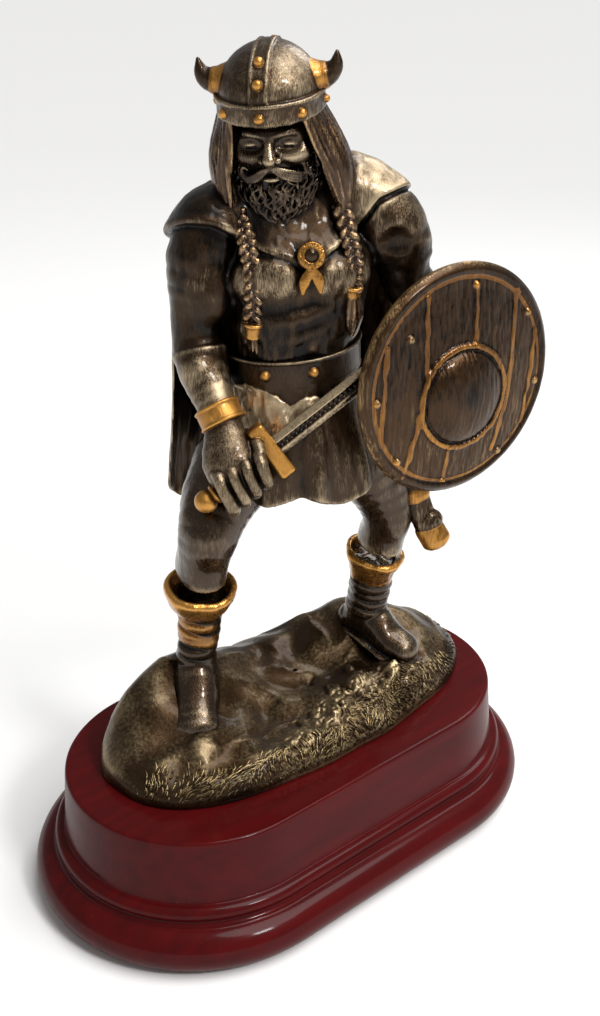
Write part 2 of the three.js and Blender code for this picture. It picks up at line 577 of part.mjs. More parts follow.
function horns() {
  const { out, up, ring, root } = HORN;
  return [-1, 1].flatMap((side) => {
    const bend = [[-2.5, -0.3, 1], [1.8, 0.2, 0.93], [4.2, 2, 0.62], [4.8, 5.2, 0.14]];
    const stations = bend.map(([o, u, part]) => [side * (out + o), 0, up + u, root * part, root * part]);
    const horn = loft(stations, { sides: 8, rows: 5, domes: 1, across: [0, 1, 0] });
    const seat = aim([side * out, 0, up], [side, 0, 0.3]);
    const collar = turned([[0, -1], [ring, -1], [ring, 0.7], [0, 1]], 10, seat);
    return [horn, collar].map((g) => g.applyMatrix4(onHead()));
  });
}

function face() {
  const across = [1, 0, 0];
  const nose = [[0, -10, -1.6, 1, 1.2], [0, -11.6, -4.6, 1.2, 1.4], [0, -12.2, -7.6, 1.9, 1.5]];
  const parts = [
    blob([0, 1, -5.5], [9.4, 10.4, 13], { sides: 12, rows: 8 }),
    loft(nose, { sides: 6, rows: 3, domes: 1, across }),
    blob([0, -9.2, -1.6], [6.4, 2, 1.3], { sides: 8, rows: 5 }),
  ];
  for (const side of [-1, 1]) {
    parts.push(blob([side * 4.6, -8, -7.2], [2.9, 2.5, 2.2], { sides: 8, rows: 5 }));
    const moustache = [
      [side * 0.6, -11.6, -10, 1.5, 1.2], [side * 3.4, -11.4, -11, 1.5, 1.3],
      [side * 6.4, -9.6, -12.2, 0.8, 0.8],
    ];
    parts.push(loft(moustache, { sides: 6, rows: 3, domes: 1, across: [0, 0, 1] }));
  }
  const locks = (angle, t) => 1 + 0.08 * Math.sin(8 * angle + 6 * t);
  const beard = [
    [0, 0, -8, 9.6, 10.2], [0, -1, -12, 9.8, 10.6], [0, -3, -17, 8.8, 9.2], [0, -6, -21, 6.4, 6.2],
    [0, -8, -24, 3, 3],
  ];
  parts.push(loft(beard, { sides: 18, rows: 6, domes: 1, across, shape: locks }));
  return parts.map((g) => g.applyMatrix4(onHead()));
}

function hair() {
  const across = [0.72, -0.69, 0];
  const strands = (angle, t) => 1 + 0.05 * Math.sin(10 * angle + 3 * t);
  const lock = { sides: 8, rows: 5, domes: 1, across };
  const fall = loft([
    [-1.4, 3, 204, 10.5, 11.5], [-0.6, 4.4, 196, 12.6, 12], [0.8, 5.6, 188, 13.2, 11.6], [2.2, 6, 181, 12, 10],
  ], { ...lock, sides: 20, rows: 4, shape: strands });
  const right = loft([
    [-9.6, 9.4, 203, 2.6, 2.6], [-11.2, 9, 195, 3.6, 4], [-11.6, 7, 188, 3.6, 4.2], [-12, 3.4, 181.5, 2.4, 2.6],
  ], lock);
  const left = loft([
    [7.4, -5.5, 203.5, 2.4, 2.4], [10.6, -6.4, 196, 3.7, 3.6], [11.8, -8.2, 189, 3.7, 3.5],
    [8.8, -11.4, 183, 2.5, 2.4],
  ], lock);
  return [fall, right, left];
}

// A plait is a cord whose two sides swell in turn, once for each crossing. A gold tie holds its end.
function plaits() {
  const plait = (path, crossings, radius) => loft(path.map((p) => [...p, radius, radius]), {
    sides: 6, rows: crossings * 2, domes: 1,
    shape: (angle, t) => 1 + 0.17 * Math.cos(2 * Math.PI * crossings * t + (Math.cos(angle) > 0 ? 0 : Math.PI)),
  });
  const tie = (at) => turned([[0, -1.9], [1.7, -1.9], [2.4, 1.9], [0, 1.9]], 8, aim(at, [0, -0.1, 1]));
  const tassel = [[9.2, -15.2, 161, 1.9, 1.9], [9.6, -14.6, 156, 2.3, 2.1], [9.8, -13.6, 152, 1.1, 1]];
  return [
    plait([[-12, 2.8, 182], [-12.4, -1.4, 175.5], [-12.9, -4, 167], [-13, -3.6, 157.5]], 8, 2),
    tie([-13, -3.7, 155]),
    plait([[8.4, -11.4, 183.5], [8.8, -14, 176], [9.1, -15.6, 170], [9, -15.5, 165]], 6, 2),
    tie([9, -15.4, 162.6]),
    loft(tassel, { sides: 6, rows: 2, domes: 1 }),
  ];
}

// Assembly

const casting = join([
  ground(), ...legs(), ...boots(), ...cuffs(), ...wraps(), ...torso(), skirt(), ...belt(), ...arms(),
  ...rightFist(), ...sword(), ...scabbard(), ...shield(), cape(), ...brooch(), ...helmet(), ...horns(), ...face(),
  ...hair(), ...plaits(),
]).add(mantle());

const lacquer = new THREE.MeshStandardMaterial({ color: 0x4a1417, roughness: 0.28, metalness: 0 });
const pewter = new THREE.MeshStandardMaterial({ color: 0x6f675a, roughness: 0.38, metalness: 0.85 });

const figurine = new THREE.Group();
const base = new THREE.Mesh(plinth(), lacquer);
base.name = 'plinth';
const warrior = new THREE.Mesh(toGeometry(casting, CASTING_TRIANGLES), pewter);
warrior.name = 'viking_figurine';
figurine.add(base, warrior);

export default figurine;
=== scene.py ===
"""The finished look of a cast viking figurine on its lacquered plinth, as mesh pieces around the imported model.

Sizes are millimetres until a piece is made, and metres after that. On the figure, "left" and "right" are his own.
"""

import json

import bpy
import numpy as np
import openvdb
from mathutils import Matrix, Vector

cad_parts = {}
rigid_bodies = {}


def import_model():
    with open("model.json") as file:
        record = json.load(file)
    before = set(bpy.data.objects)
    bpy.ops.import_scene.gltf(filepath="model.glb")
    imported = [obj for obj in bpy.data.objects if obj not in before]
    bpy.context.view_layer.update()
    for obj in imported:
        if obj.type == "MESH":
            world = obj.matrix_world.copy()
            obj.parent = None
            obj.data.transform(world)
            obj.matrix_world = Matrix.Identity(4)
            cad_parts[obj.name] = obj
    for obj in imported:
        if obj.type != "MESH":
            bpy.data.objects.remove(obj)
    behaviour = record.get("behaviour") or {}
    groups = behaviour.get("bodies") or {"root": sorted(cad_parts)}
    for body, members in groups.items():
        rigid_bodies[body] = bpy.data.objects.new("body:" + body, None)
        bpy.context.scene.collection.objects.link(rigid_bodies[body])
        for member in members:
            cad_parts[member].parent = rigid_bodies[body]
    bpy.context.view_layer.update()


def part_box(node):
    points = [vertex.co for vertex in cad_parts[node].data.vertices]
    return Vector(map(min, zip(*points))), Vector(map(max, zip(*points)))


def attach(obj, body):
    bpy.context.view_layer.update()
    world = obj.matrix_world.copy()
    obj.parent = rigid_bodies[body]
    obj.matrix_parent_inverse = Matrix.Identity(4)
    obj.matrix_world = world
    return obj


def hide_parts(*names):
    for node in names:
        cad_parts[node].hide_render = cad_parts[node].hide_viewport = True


bl_info = {
    "name": "Viking Figurine",
    "version": (1, 0, 0),
    "blender": (4, 5, 0),
    "location": "3D View > Sidebar > Figurine",
    "description": "Models a cast pewter warrior and its plinth around the packed frame",
    "category": "Mesh",
}

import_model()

MM = 0.001
CASTING = "viking_figurine"
FAR = 6.0

# Places that the solids share with these pieces, in millimetres
PLINTH_TOP = 36.1
TORSO = {"middle": (4.0, 1.5), "yaw": -27.0}
HEAD = {"at": (-2.2, 1.2, 204.8), "yaw": -46.0, "pitch": 12.0, "roll": 3.0}
SHIELD = {"at": (33.5, -30.0, 138.4), "yaw": -8.0, "radius": 30.6}
SWORD = {"pommel": (-29.4, -4.3, 114.4), "tip": (19.5, -25.0, 150.5), "guard_at": 20.5}
BELT = {"at": (3.4, 1.6, 145.0), "across": 18.2, "deep": 14.2, "height": 8.0, "tip": 8.0, "roll": 4.0}
BRACELET = {"at": (-21.7, -0.3, 135.2), "along": (-0.05, 0.59, 0.81), "radius": 5.7, "height": 4.4}


# Small vector tools

def unit(v):
    v = np.asarray(v, float)
    return v / np.linalg.norm(v)


def placed(at, yaw=0.0, pitch=0.0, roll=0.0):
    """The frame of a thing that faces -Y before it is turned, tipped forward and rolled to his right."""
    turn = Matrix.Rotation(np.radians(yaw), 4, "Z") @ Matrix.Rotation(np.radians(pitch), 4, "X")
    return np.array(Matrix.Translation(at) @ turn @ Matrix.Rotation(-np.radians(roll), 4, "Y"))


def aimed(at, direction):
    """The frame whose Z axis runs along a direction."""
    turn = Vector((0, 0, 1)).rotation_difference(Vector(direction))
    return np.array(Matrix.Translation(at) @ turn.to_matrix().to_4x4())


def moved(matrix, points):
    points = np.asarray(points, float)
    return points @ matrix[:3, :3].T + matrix[:3, 3]


def inside(matrix, stations):
    """Stations of the row frame, as seen from another frame: only their places change."""
    rows = np.array(stations, float)
    rows[:, :3] = moved(np.linalg.inv(matrix), rows[:, :3])
    return rows


def through(stations, steps):
    """Rows on a smooth curve through the stations, with `steps` rows from each one to the next."""
    rows = np.array(stations, float)
    rows = np.vstack([2 * rows[0] - rows[1], rows, 2 * rows[-1] - rows[-2]])
    t = np.linspace(0, len(rows) - 3, steps * (len(rows) - 3) + 1)
    i = np.minimum(t.astype(int), len(rows) - 4)
    f = (t - i)[:, None]
    a, b, c, d = rows[i], rows[i + 1], rows[i + 2], rows[i + 3]
    return 0.5 * (2 * b + (c - a) * f + (2 * a - 5 * b + 4 * c - d) * f**2 + (3 * b - a - 3 * c + d) * f**3)


LATTICE = np.random.default_rng(7).random((48, 48, 48)).astype(np.float32) * 2 - 1


def grain(points, cell, shift=0.0):
    """Smooth noise from -1 to 1. `cell` is its size along each axis, in millimetres."""
    q = np.asarray(points, float) / np.broadcast_to(cell, 3) + 100.0 + shift
    low = np.floor(q).astype(int)
    f = q - low
    f = f * f * (3 - 2 * f)
    total = 0.0
    for corner in np.ndindex(2, 2, 2):
        weight = np.prod(np.where(corner, f, 1 - f), axis=-1)
        total = total + weight * LATTICE[tuple(np.moveaxis((low + corner) % 48, -1, 0))]
    return total


def ramp(value, low, high):
    t = np.clip((value - low) / (high - low), 0, 1)
    return t * t * (3 - 2 * t)


def band(value, low, full, still, high):
    """1 from `full` to `still`, falling softly to 0 at `low` and at `high`."""
    return ramp(value, low, full) * ramp(-value, -high, -still)


def peak(value, middle, width):
    """A soft bump that is 1 in its middle."""
    return np.exp(-(((value - middle) / width) ** 2))


def sampled(values, spots):
    """Values of a grid at spots between its points."""
    low = np.clip(np.floor(spots).astype(int), 0, np.array(values.shape) - 2)
    f = np.clip(spots - low, 0, 1)
    return sum(np.prod(np.where(corner, f, 1 - f), axis=-1) * values[tuple((low + corner).T)]
               for corner in np.ndindex(2, 2, 2))


# Clay: signed distances on a grid, joined softly and turned into a mesh

def seen_from(back, x, y, z):
    """Coordinates in the frame whose inverse is `back`."""
    return [row[0] * x + row[1] * y + row[2] * z + row[3] for row in back[:3]]


def reach_of(matrix, low, high):
    """The corners of the upright box round a box in another frame."""
    corners = moved(matrix, np.where(list(np.ndindex(2, 2, 2)), high, low))
    return corners.min(0), corners.max(0)


def ellipsoid(q, radii):
    outer = np.sqrt(sum((c / r) ** 2 for c, r in zip(q, radii)))
    slope = np.sqrt(sum((c / r**2) ** 2 for c, r in zip(q, radii)))
    return outer * (outer - 1) / np.maximum(slope, 1e-4)


def ball(at, radii, turn=None):
    """An ellipsoid. The columns of `turn` are its own axes."""
    at, radii = np.asarray(at, float), np.ones(3) * radii
    axes = np.eye(3) if turn is None else np.asarray(turn)[:3, :3]
    reach = np.abs(axes) @ radii

    def distance(x, y, z):
        x, y, z = x - at[0], y - at[1], z - at[2]
        return ellipsoid([x * a[0] + y * a[1] + z * a[2] for a in axes.T], radii)

    return at - reach, at + reach, distance


def link(a, b, across):
    """One stretch of a limb, from row a to row b: x, y, z, half width, half depth."""
    start, span = a[:3], b[:3] - a[:3]
    length = max(np.linalg.norm(span), 1e-6)
    along = span / length
    wide = unit(np.asarray(across) - along * np.dot(across, along))
    deep = np.cross(along, wide)
    reach = max(a[3], a[4], b[3], b[4])
    low, high = np.minimum(a[:3], b[:3]) - reach, np.maximum(a[:3], b[:3]) + reach
    round_section = abs(a[3] - a[4]) < 1e-6 and abs(b[3] - b[4]) < 1e-6

    def distance(x, y, z):
        x, y, z = x - start[0], y - start[1], z - start[2]
        ahead = x * along[0] + y * along[1] + z * along[2]
        t = np.clip(ahead / length, 0, 1)
        if round_section:
            ahead = t * length
            gap = (x - ahead * along[0]) ** 2 + (y - ahead * along[1]) ** 2 + (z - ahead * along[2]) ** 2
            return np.sqrt(gap) - (a[3] + (b[3] - a[3]) * t)
        half, depth = a[3] + (b[3] - a[3]) * t, a[4] + (b[4] - a[4]) * t
        u = x * wide[0] + y * wide[1] + z * wide[2]
        v = x * deep[0] + y * deep[1] + z * deep[2]
        return ellipsoid([u, v, ahead - t * length], [half, depth, np.minimum(half, depth)])

    return low, high, distance


def limb(stations, across=(1, 0, 0), steps=3):
    """A body swept through stations of x, y, z, half width and half depth, the width along `across`."""
    rows = through(stations, steps)
    rows[:, 3:] = np.maximum(rows[:, 3:], 0.05)
    return [link(a, b, across) for a, b in zip(rows, rows[1:])]


def strand(points, radii, steps=3):
    """A round limb."""
    radii = np.broadcast_to(radii, len(points))
    return limb([[*p, r, r] for p, r in zip(points, radii)], steps=steps)


def column(stations, shape=None):
    """An upright body: an ellipse at each height. `shape(angle, height)` scales its section."""
    rows = through(stations, 8)
    rows = rows[np.argsort(rows[:, 2])]
    low, high = rows[:, :3].min(0), rows[:, :3].max(0)
    reach = np.array([rows[:, 3].max(), rows[:, 4].max(), 0]) * 1.1

    def distance(x, y, z):
        level = np.clip(z, low[2], high[2])
        mx, my, half, depth = (np.interp(level, rows[:, 2], rows[:, k]) for k in (0, 1, 3, 4))
        x, y = x - mx, y - my
        if shape:
            swell = shape(np.arctan2(x, -y), level)
            half, depth = half * swell, depth * swell
        return ellipsoid([x, y, z - level], [half, depth, np.minimum(half, depth) * 0.5])

    return low - reach - [0, 0, 3], high + reach + [0, 0, 3], distance


def spun(profile, matrix, shape=None):
    """A profile of (height, radius) pairs turned about a frame's Z axis, closed at both ends."""
    profile = np.array(profile, float)
    bottom, top, widest = profile[0, 0], profile[-1, 0], profile[:, 1].max() * 1.15
    slope = np.gradient(profile[:, 1], profile[:, 0])
    lean = np.sqrt(1 + np.clip(slope, -2, 2) ** 2)
    back = np.linalg.inv(matrix)

    def distance(x, y, z):
        u, v, w = seen_from(back, x, y, z)
        edge = np.interp(w, profile[:, 0], profile[:, 1])
        if shape:
            edge = edge * shape(np.arctan2(v, u), w)
        side = (np.sqrt(u * u + v * v) - edge) / np.interp(w, profile[:, 0], lean)
        return np.maximum(side, np.maximum(bottom - w, w - top))

    return (*reach_of(matrix, [-widest, -widest, bottom], [widest, widest, top]), distance)


def slab(matrix, half, edge):
    """A box with rounded edges, centred on a frame."""
    half = np.asarray(half, float)
    back = np.linalg.inv(matrix)

    def distance(x, y, z):
        q = [np.abs(c) - h + edge for c, h in zip(seen_from(back, x, y, z), half)]
        outside = np.sqrt(sum(np.maximum(c, 0) ** 2 for c in q))
        return outside + np.minimum(np.maximum(q[0], np.maximum(q[1], q[2])), 0) - edge

    return (*reach_of(matrix, -half, half), distance)


def hoop(matrix, across, deep, half_height, edge):
    """A solid oval strap, centred on a frame."""
    back = np.linalg.inv(matrix)
    half = np.array([across, deep, half_height])

    def distance(x, y, z):
        u, v, w = seen_from(back, x, y, z)
        side, cap = ellipsoid([u, v], [across - edge, deep - edge]), np.abs(w) - half_height + edge
        outside = np.sqrt(np.maximum(side, 0) ** 2 + np.maximum(cap, 0) ** 2)
        return outside + np.minimum(np.maximum(side, cap), 0) - edge

    return (*reach_of(matrix, -half, half), distance)


def soft_min(a, b, soft):
    if soft <= 0:
        return np.minimum(a, b)
    lean = np.maximum(soft - np.abs(a - b), 0) / soft
    return np.minimum(a, b) - lean * lean * soft * 0.25


class Clay:
    """A block to model in. Parts are (low corner, high corner, distance function), in the block's own frame."""

    def __init__(self, low, high, step, place=None):
        self.low, self.step = np.array(low, float), step
        size = np.ceil((np.array(high) - self.low) / step).astype(int) + 1
        self.field = np.full(size, FAR, np.float32)
        self.bare = np.full(size, FAR, np.float32)
        self.gilt = np.full(size, 2 * FAR, np.float32)
        self.place = np.eye(4) if place is None else place

    def window(self, low, high):
        first = np.clip(np.floor((low - self.low) / self.step).astype(int), 0, self.field.shape)
        last = np.clip(np.ceil((high - self.low) / self.step).astype(int) + 1, first, self.field.shape)
        return first, last

    def spots(self, first, last):
        """Coordinates of the grid points in a window, one thin array for each axis."""
        return [
            (self.low[k] + self.step * np.arange(first[k], last[k], dtype=np.float32)).reshape(
                [-1 if axis == k else 1 for axis in range(3)]
            )
            for k in range(3)
        ]

    def lump(self, parts, soft):
        """The grid region round one or more parts, and the distances to all of them in it."""
        parts = [parts] if callable(parts[-1]) else parts
        margin = soft + 3 * self.step
        lows, highs, _ = zip(*parts)
        first, last = self.window(np.min(lows, axis=0) - margin, np.max(highs, axis=0) + margin)
        lump = np.full(last - first, FAR, np.float32)
        for low, high, distance in parts:
            a, b = self.window(low - margin, high + margin)
            if (b > a).all():
                inner = tuple(slice(p - o, q - o) for p, q, o in zip(a, b, first))
                lump[inner] = np.minimum(lump[inner], distance(*self.spots(a, b)))
        return tuple(slice(a, b) for a, b in zip(first, last)), lump

    def press(self, parts, soft=0.0, gilt=False):
        """Adds parts as one lump, joined softly to what is there, in gold paint or bare."""
        region, lump = self.lump(parts, soft)
        self.field[region] = soft_min(self.field[region], lump, soft)
        paint = self.gilt if gilt else self.bare
        paint[region] = np.minimum(paint[region], lump)

    def carve(self, parts, soft=0.0):
        """Takes parts away."""
        region, lump = self.lump(parts, soft)
        self.field[region] = -soft_min(-self.field[region], lump, soft)
        self.bare[region] = np.maximum(self.bare[region], -lump)
        self.gilt[region] = np.maximum(self.gilt[region], 0.35 - lump)

    def reshape(self, change):
        """Replaces the whole field by change(field, x, y, z)."""
        self.field[...] = change(self.field, *self.spots(np.zeros(3, int), np.array(self.field.shape)))

    def surface(self):
        """Points, four-sided faces, and how far each point lies inside the gold paint."""
        grid = openvdb.FloatGrid(FAR)
        grid.copyFromArray(self.field)
        spots, faces = grid.convertToQuads(0.0)
        spots = spots.astype(float)
        gilding = sampled(self.bare, spots) - sampled(self.gilt, spots)
        return self.low + spots * self.step, faces.astype(int), gilding


# Pieces

def piece(name, points, faces, slot, material, replaces=CASTING, **paint):
    """Makes a mesh object from millimetres, and ties it to the frame. `paint` holds a value for each point."""
    mesh = bpy.data.meshes.new(name)
    mesh.from_pydata((np.asarray(points) * MM).tolist(), [], [list(face) for face in faces])
    mesh.shade_smooth()
    mesh.materials.append(material)
    if slot != "lacquered_wood":
        paint.setdefault("gilding", np.full(len(points), -1.0))
    for kind, values in paint.items():
        mesh.attributes.new(kind, "FLOAT", "POINT").data.foreach_set("value", np.asarray(values, np.float32))
    made = bpy.data.objects.new(name, mesh)
    bpy.context.collection.objects.link(made)
    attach(made, "root")
    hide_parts(replaces)
    return made


def cast(name, clay, material, chase=None, slot="antique_pewter", **paint):
    """Makes a piece of a block of clay. `chase(points)` says how far each point moves out along its normal, and
    `paint` holds functions of the points, all in the block's own frame."""
    points, faces, gilding = clay.surface()
    if chase:
        points = points + normals(points, faces) * chase(points)[:, None]
    values = {kind: paint_of(points) for kind, paint_of in paint.items()}
    return piece(name, moved(clay.place, points), faces, slot, material, gilding=gilding, **values)


def normals(points, faces):
    """Unit normals at the points of a mesh of four-sided faces."""
    a, b, c, d = (points[faces[:, k]] for k in range(4))
    flat = np.cross(c - a, d - b)
    total = np.stack([
        sum(np.bincount(faces[:, k], flat[:, axis], len(points)) for k in range(4)) for axis in range(3)
    ], axis=1)
    return total / np.maximum(np.linalg.norm(total, axis=1, keepdims=True), 1e-9)


def sheet_faces(rows, columns):
    """Four-sided faces over rows of points, each row a closed ring."""
    i, j = np.meshgrid(np.arange(rows - 1), np.arange(columns), indexing="ij")
    i, j, k = i.ravel(), j.ravel(), ((j + 1) % columns).ravel()
    return np.stack([i * columns + j, (i + 1) * columns + j, (i + 1) * columns + k, i * columns + k], axis=1)


def closed_faces(rows, columns, turned=False):
    """The same, with the first and the last ring closed too. `turned` is for rings that run the other way round."""
    first, last = list(range(columns)), list(range((rows - 1) * columns, rows * columns))[::-1]
    caps = [first[::-1], last[::-1]] if turned else [first, last]
    return [list(face) for face in sheet_faces(rows, columns)] + caps


# Materials

def add(tree, kind, values=None, **settings):
    """A shader node with its settings, and its inputs set or linked by name or number."""
    made = tree.nodes.new("ShaderNode" + kind)
    for key, value in settings.items():
        setattr(made, key, value)
    for socket, value in (values or {}).items():
        if isinstance(value, bpy.types.NodeSocket):
            tree.links.new(value, made.inputs[socket])
        else:
            made.inputs[socket].default_value = value
    return made


def maths(tree, operation, *values):
    return add(tree, "Math", dict(enumerate(values)), operation=operation).outputs[0]


def spread(tree, value, low, high, to_low=0.0, to_high=1.0):
    inputs = {"Value": value, "From Min": low, "From Max": high, "To Min": to_low, "To Max": to_high}
    return add(tree, "MapRange", inputs, interpolation_type="SMOOTHSTEP").outputs[0]


def mixed(tree, factor, a, b):
    """A colour between two colours."""
    return add(tree, "Mix", {0: factor, 6: a, 7: b}, data_type="RGBA").outputs[2]


def attribute(tree, name):
    return add(tree, "Attribute", attribute_name=name).outputs["Fac"]


def streaks(tree, cell, detail=3.0, shift=0.0):
    """Noise from 0 to 1 whose cells have these sizes in millimetres."""
    place = add(tree, "TexCoord").outputs["Object"]
    size = [1 / (c * MM) for c in cell]
    place = add(tree, "Mapping", {"Vector": place, "Location": (shift, shift, shift), "Scale": size}).outputs[0]
    noise = {"Vector": place, "Scale": 1.0, "Detail": detail, "Roughness": 0.6}
    return add(tree, "TexNoise", noise).outputs[0]


def new_material(name):
    material = bpy.data.materials.new(name)
    material.use_nodes = True
    material.node_tree.nodes.clear()
    return material, material.node_tree


def colour4(colour):
    return (*colour, 1.0)


def pewter(name, stroke=(0.5, 0.5, 3.0), tint=(1.0, 1.0, 1.0), contrast=1.0, mottle=0.5, wash=0.6, gloss=0.25,
           roughness=0.34):
    """Antique pewter: black-brown in the hollows, dry-brushed silver on the high spots, gold where it is painted.
    `stroke` is the size of a brush stroke in millimetres, `contrast` the weight of the relief, `mottle` that of the
    strokes, `wash` how much the hollows darken, and `gloss` the weight of the clear coat."""
    finish = bpy.context.scene.figurine_finish
    material, tree = new_material(name)
    relief, hollow = attribute(tree, "relief"), attribute(tree, "hollow")
    brush = spread(tree, streaks(tree, stroke), 0.3, 0.7)
    wide = spread(tree, streaks(tree, (5.0, 5.0, 9.0), shift=3.0), 0.36, 0.64)
    # The bright attribute carries each piece's painted highlights and painted shade, added to its own lighter and
    # darker paint.
    lift = maths(tree, "MULTIPLY_ADD", relief, 0.4 * contrast, attribute(tree, "bright"))
    lift = maths(tree, "ADD", lift, maths(tree, "MULTIPLY_ADD", brush, 0.9 * mottle, -0.45 * mottle))
    lift = maths(tree, "ADD", lift, maths(tree, "MULTIPLY_ADD", wide, 0.5 * mottle, -0.25 * mottle))
    lift = maths(tree, "SUBTRACT", lift, maths(tree, "MULTIPLY", hollow, wash))
    tone = [colour4(np.array(c) * tint) for c in (finish.hollow_colour, finish.body_colour, finish.brushed_colour)]
    colour = mixed(tree, spread(tree, lift, -0.7, 0.0), tone[0], tone[1])
    colour = mixed(tree, spread(tree, lift, 0.05, 1.0), colour, tone[2])
    # Gold goes from its dark shade to full colour with the lift, so with wear and also with the painted highlights and
    # painted shade.
    wear_and_painted_light = spread(tree, lift, -0.6, 0.7)
    gold = mixed(tree, wear_and_painted_light, colour4(finish.gold_shade), colour4(finish.gold_colour))
    ragged = maths(tree, "MULTIPLY_ADD", streaks(tree, (0.6, 0.6, 0.6), shift=5.0), 0.3, -0.15)
    gilt = spread(tree, maths(tree, "ADD", attribute(tree, "gilding"), ragged), -0.05, 0.05)
    colour = mixed(tree, gilt, colour, gold)
    fine = streaks(tree, [c * 0.45 for c in stroke], shift=7.0)
    height = maths(tree, "ADD", brush, maths(tree, "MULTIPLY", fine, 0.6))
    bump = add(tree, "Bump", {"Strength": 0.3, "Distance": 0.12 * MM, "Height": height}).outputs[0]
    rough = spread(tree, brush, 0.0, 1.0, roughness - 0.06, roughness + 0.08)
    shader = add(tree, "BsdfPrincipled", {
        "Base Color": colour, "Metallic": 0.9, "Roughness": rough, "Normal": bump, "Coat Weight": gloss,
        "Coat Roughness": 0.1,
    })
    add(tree, "OutputMaterial", {0: shader.outputs[0]})
    return material


def lacquer():
    """Dark mahogany-red lacquer: even, glossy, with a little dust and a faint grain under it."""
    finish = bpy.context.scene.figurine_finish
    material, tree = new_material("mahogany_lacquer")
    figure = streaks(tree, (30.0, 4.0, 4.0), detail=2.0)
    colour = mixed(tree, spread(tree, figure, 0.2, 0.8), colour4(finish.lacquer_shade), colour4(finish.lacquer_colour))
    dust = spread(tree, streaks(tree, (0.5, 0.5, 0.5), detail=1.0), 0.78, 0.84)
    colour = mixed(tree, maths(tree, "MULTIPLY", dust, 0.2), colour, (0.5, 0.35, 0.33, 1))
    orange_peel = streaks(tree, (1.6, 1.6, 1.6), detail=2.0)
    bump = add(tree, "Bump", {"Strength": 0.08, "Distance": 0.1 * MM, "Height": orange_peel}).outputs[0]
    rough = spread(tree, streaks(tree, (9.0, 9.0, 9.0)), 0.3, 0.7, 0.3, 0.38)
    shader = add(tree, "BsdfPrincipled", {
        "Base Color": colour, "Roughness": rough, "Normal": bump, "Specular IOR Level": 0.03,
        "Coat Weight": 0.2, "Coat Roughness": 0.11,
    })
    add(tree, "OutputMaterial", {0: shader.outputs[0]})
    return material


# Settings a user would change

class FigurineFinish(bpy.types.PropertyGroup):
    # The hollow, body and dry-brush colours also colour the painted shade and painted highlights in each piece's bright
    # attribute, and the gold in the hollows also colours gold in painted shade.
    hollow_colour: bpy.props.FloatVectorProperty(
        name="Hollows", description="Black-brown wash left in the hollows", subtype="COLOR", size=3,
        min=0, max=1, default=(0.0050, 0.003, 0.0018))
    body_colour: bpy.props.FloatVectorProperty(
        name="Body", description="Dark glossy coat of the broad areas", subtype="COLOR", size=3,
        min=0, max=1, default=(0.044, 0.0240, 0.0108))
    brushed_colour: bpy.props.FloatVectorProperty(
        name="Dry brush", description="Silver-beige dry brush on the high spots", subtype="COLOR", size=3,
        min=0, max=1, default=(0.47, 0.36, 0.225))
    gold_colour: bpy.props.FloatVectorProperty(
        name="Gold", description="Gold paint", subtype="COLOR", size=3, min=0, max=1, default=(0.58, 0.28, 0.055))
    gold_shade: bpy.props.FloatVectorProperty(
        name="Gold in the hollows", description="Gold paint where it is thin or dirty", subtype="COLOR", size=3,
        min=0, max=1, default=(0.16, 0.065, 0.014))
    lacquer_colour: bpy.props.FloatVectorProperty(
        name="Lacquer", description="Mahogany lacquer of the plinth", subtype="COLOR", size=3,
        min=0, max=1, default=(0.078, 0.0034, 0.0038))
    lacquer_shade: bpy.props.FloatVectorProperty(
        name="Lacquer shade", description="Darker figure in the lacquer", subtype="COLOR", size=3,
        min=0, max=1, default=(0.050, 0.0030, 0.0034))


class FigurineStage(bpy.types.PropertyGroup):
    lens: bpy.props.FloatProperty(
        name="Lens", description="Focal length of the camera, in millimetres", default=40.75, min=10, max=200)
    daylight: bpy.props.FloatProperty(
        name="Overhead light", description="Strength of the wide soft light from above", default=2.3, min=0)
    key_power: bpy.props.FloatProperty(
        name="Key light", description="Power of the soft box beside the camera", unit="POWER", default=2.5, min=0)
    rim_power: bpy.props.FloatProperty(
        name="Rim light", description="Power of the soft box behind the figure", unit="POWER", default=1.5, min=0)
    room_light: bpy.props.FloatProperty(
        name="Room light", description="Strength of the pale surroundings", default=0.3, min=0)


# Stage

EYE = (-0.1791, -0.2187, 0.2351)
EYE_YAW, EYE_DIP, EYE_TILT = np.radians((-40.06, 25.22, -0.24))
AIM = Vector((0.0, 0.0, 0.11))
SENSOR_WIDTH = 36.0
FLOOR_REACH = 40.0
# Place and size of each soft box, in metres
SOFT_BOXES = {"key": ((0.02, -0.57, 0.60), (0.13, 0.10)), "rim": ((0.52, 0.16, 0.62), (0.3, 0.25))}
SUN_SPREAD, SUN_TURN = 0.7, (0.35, 0.25, 0)
ROOM_COLOUR = (1.0, 0.985, 0.965, 1)
PAPER_COLOUR = (0.9, 0.9, 0.89, 1)


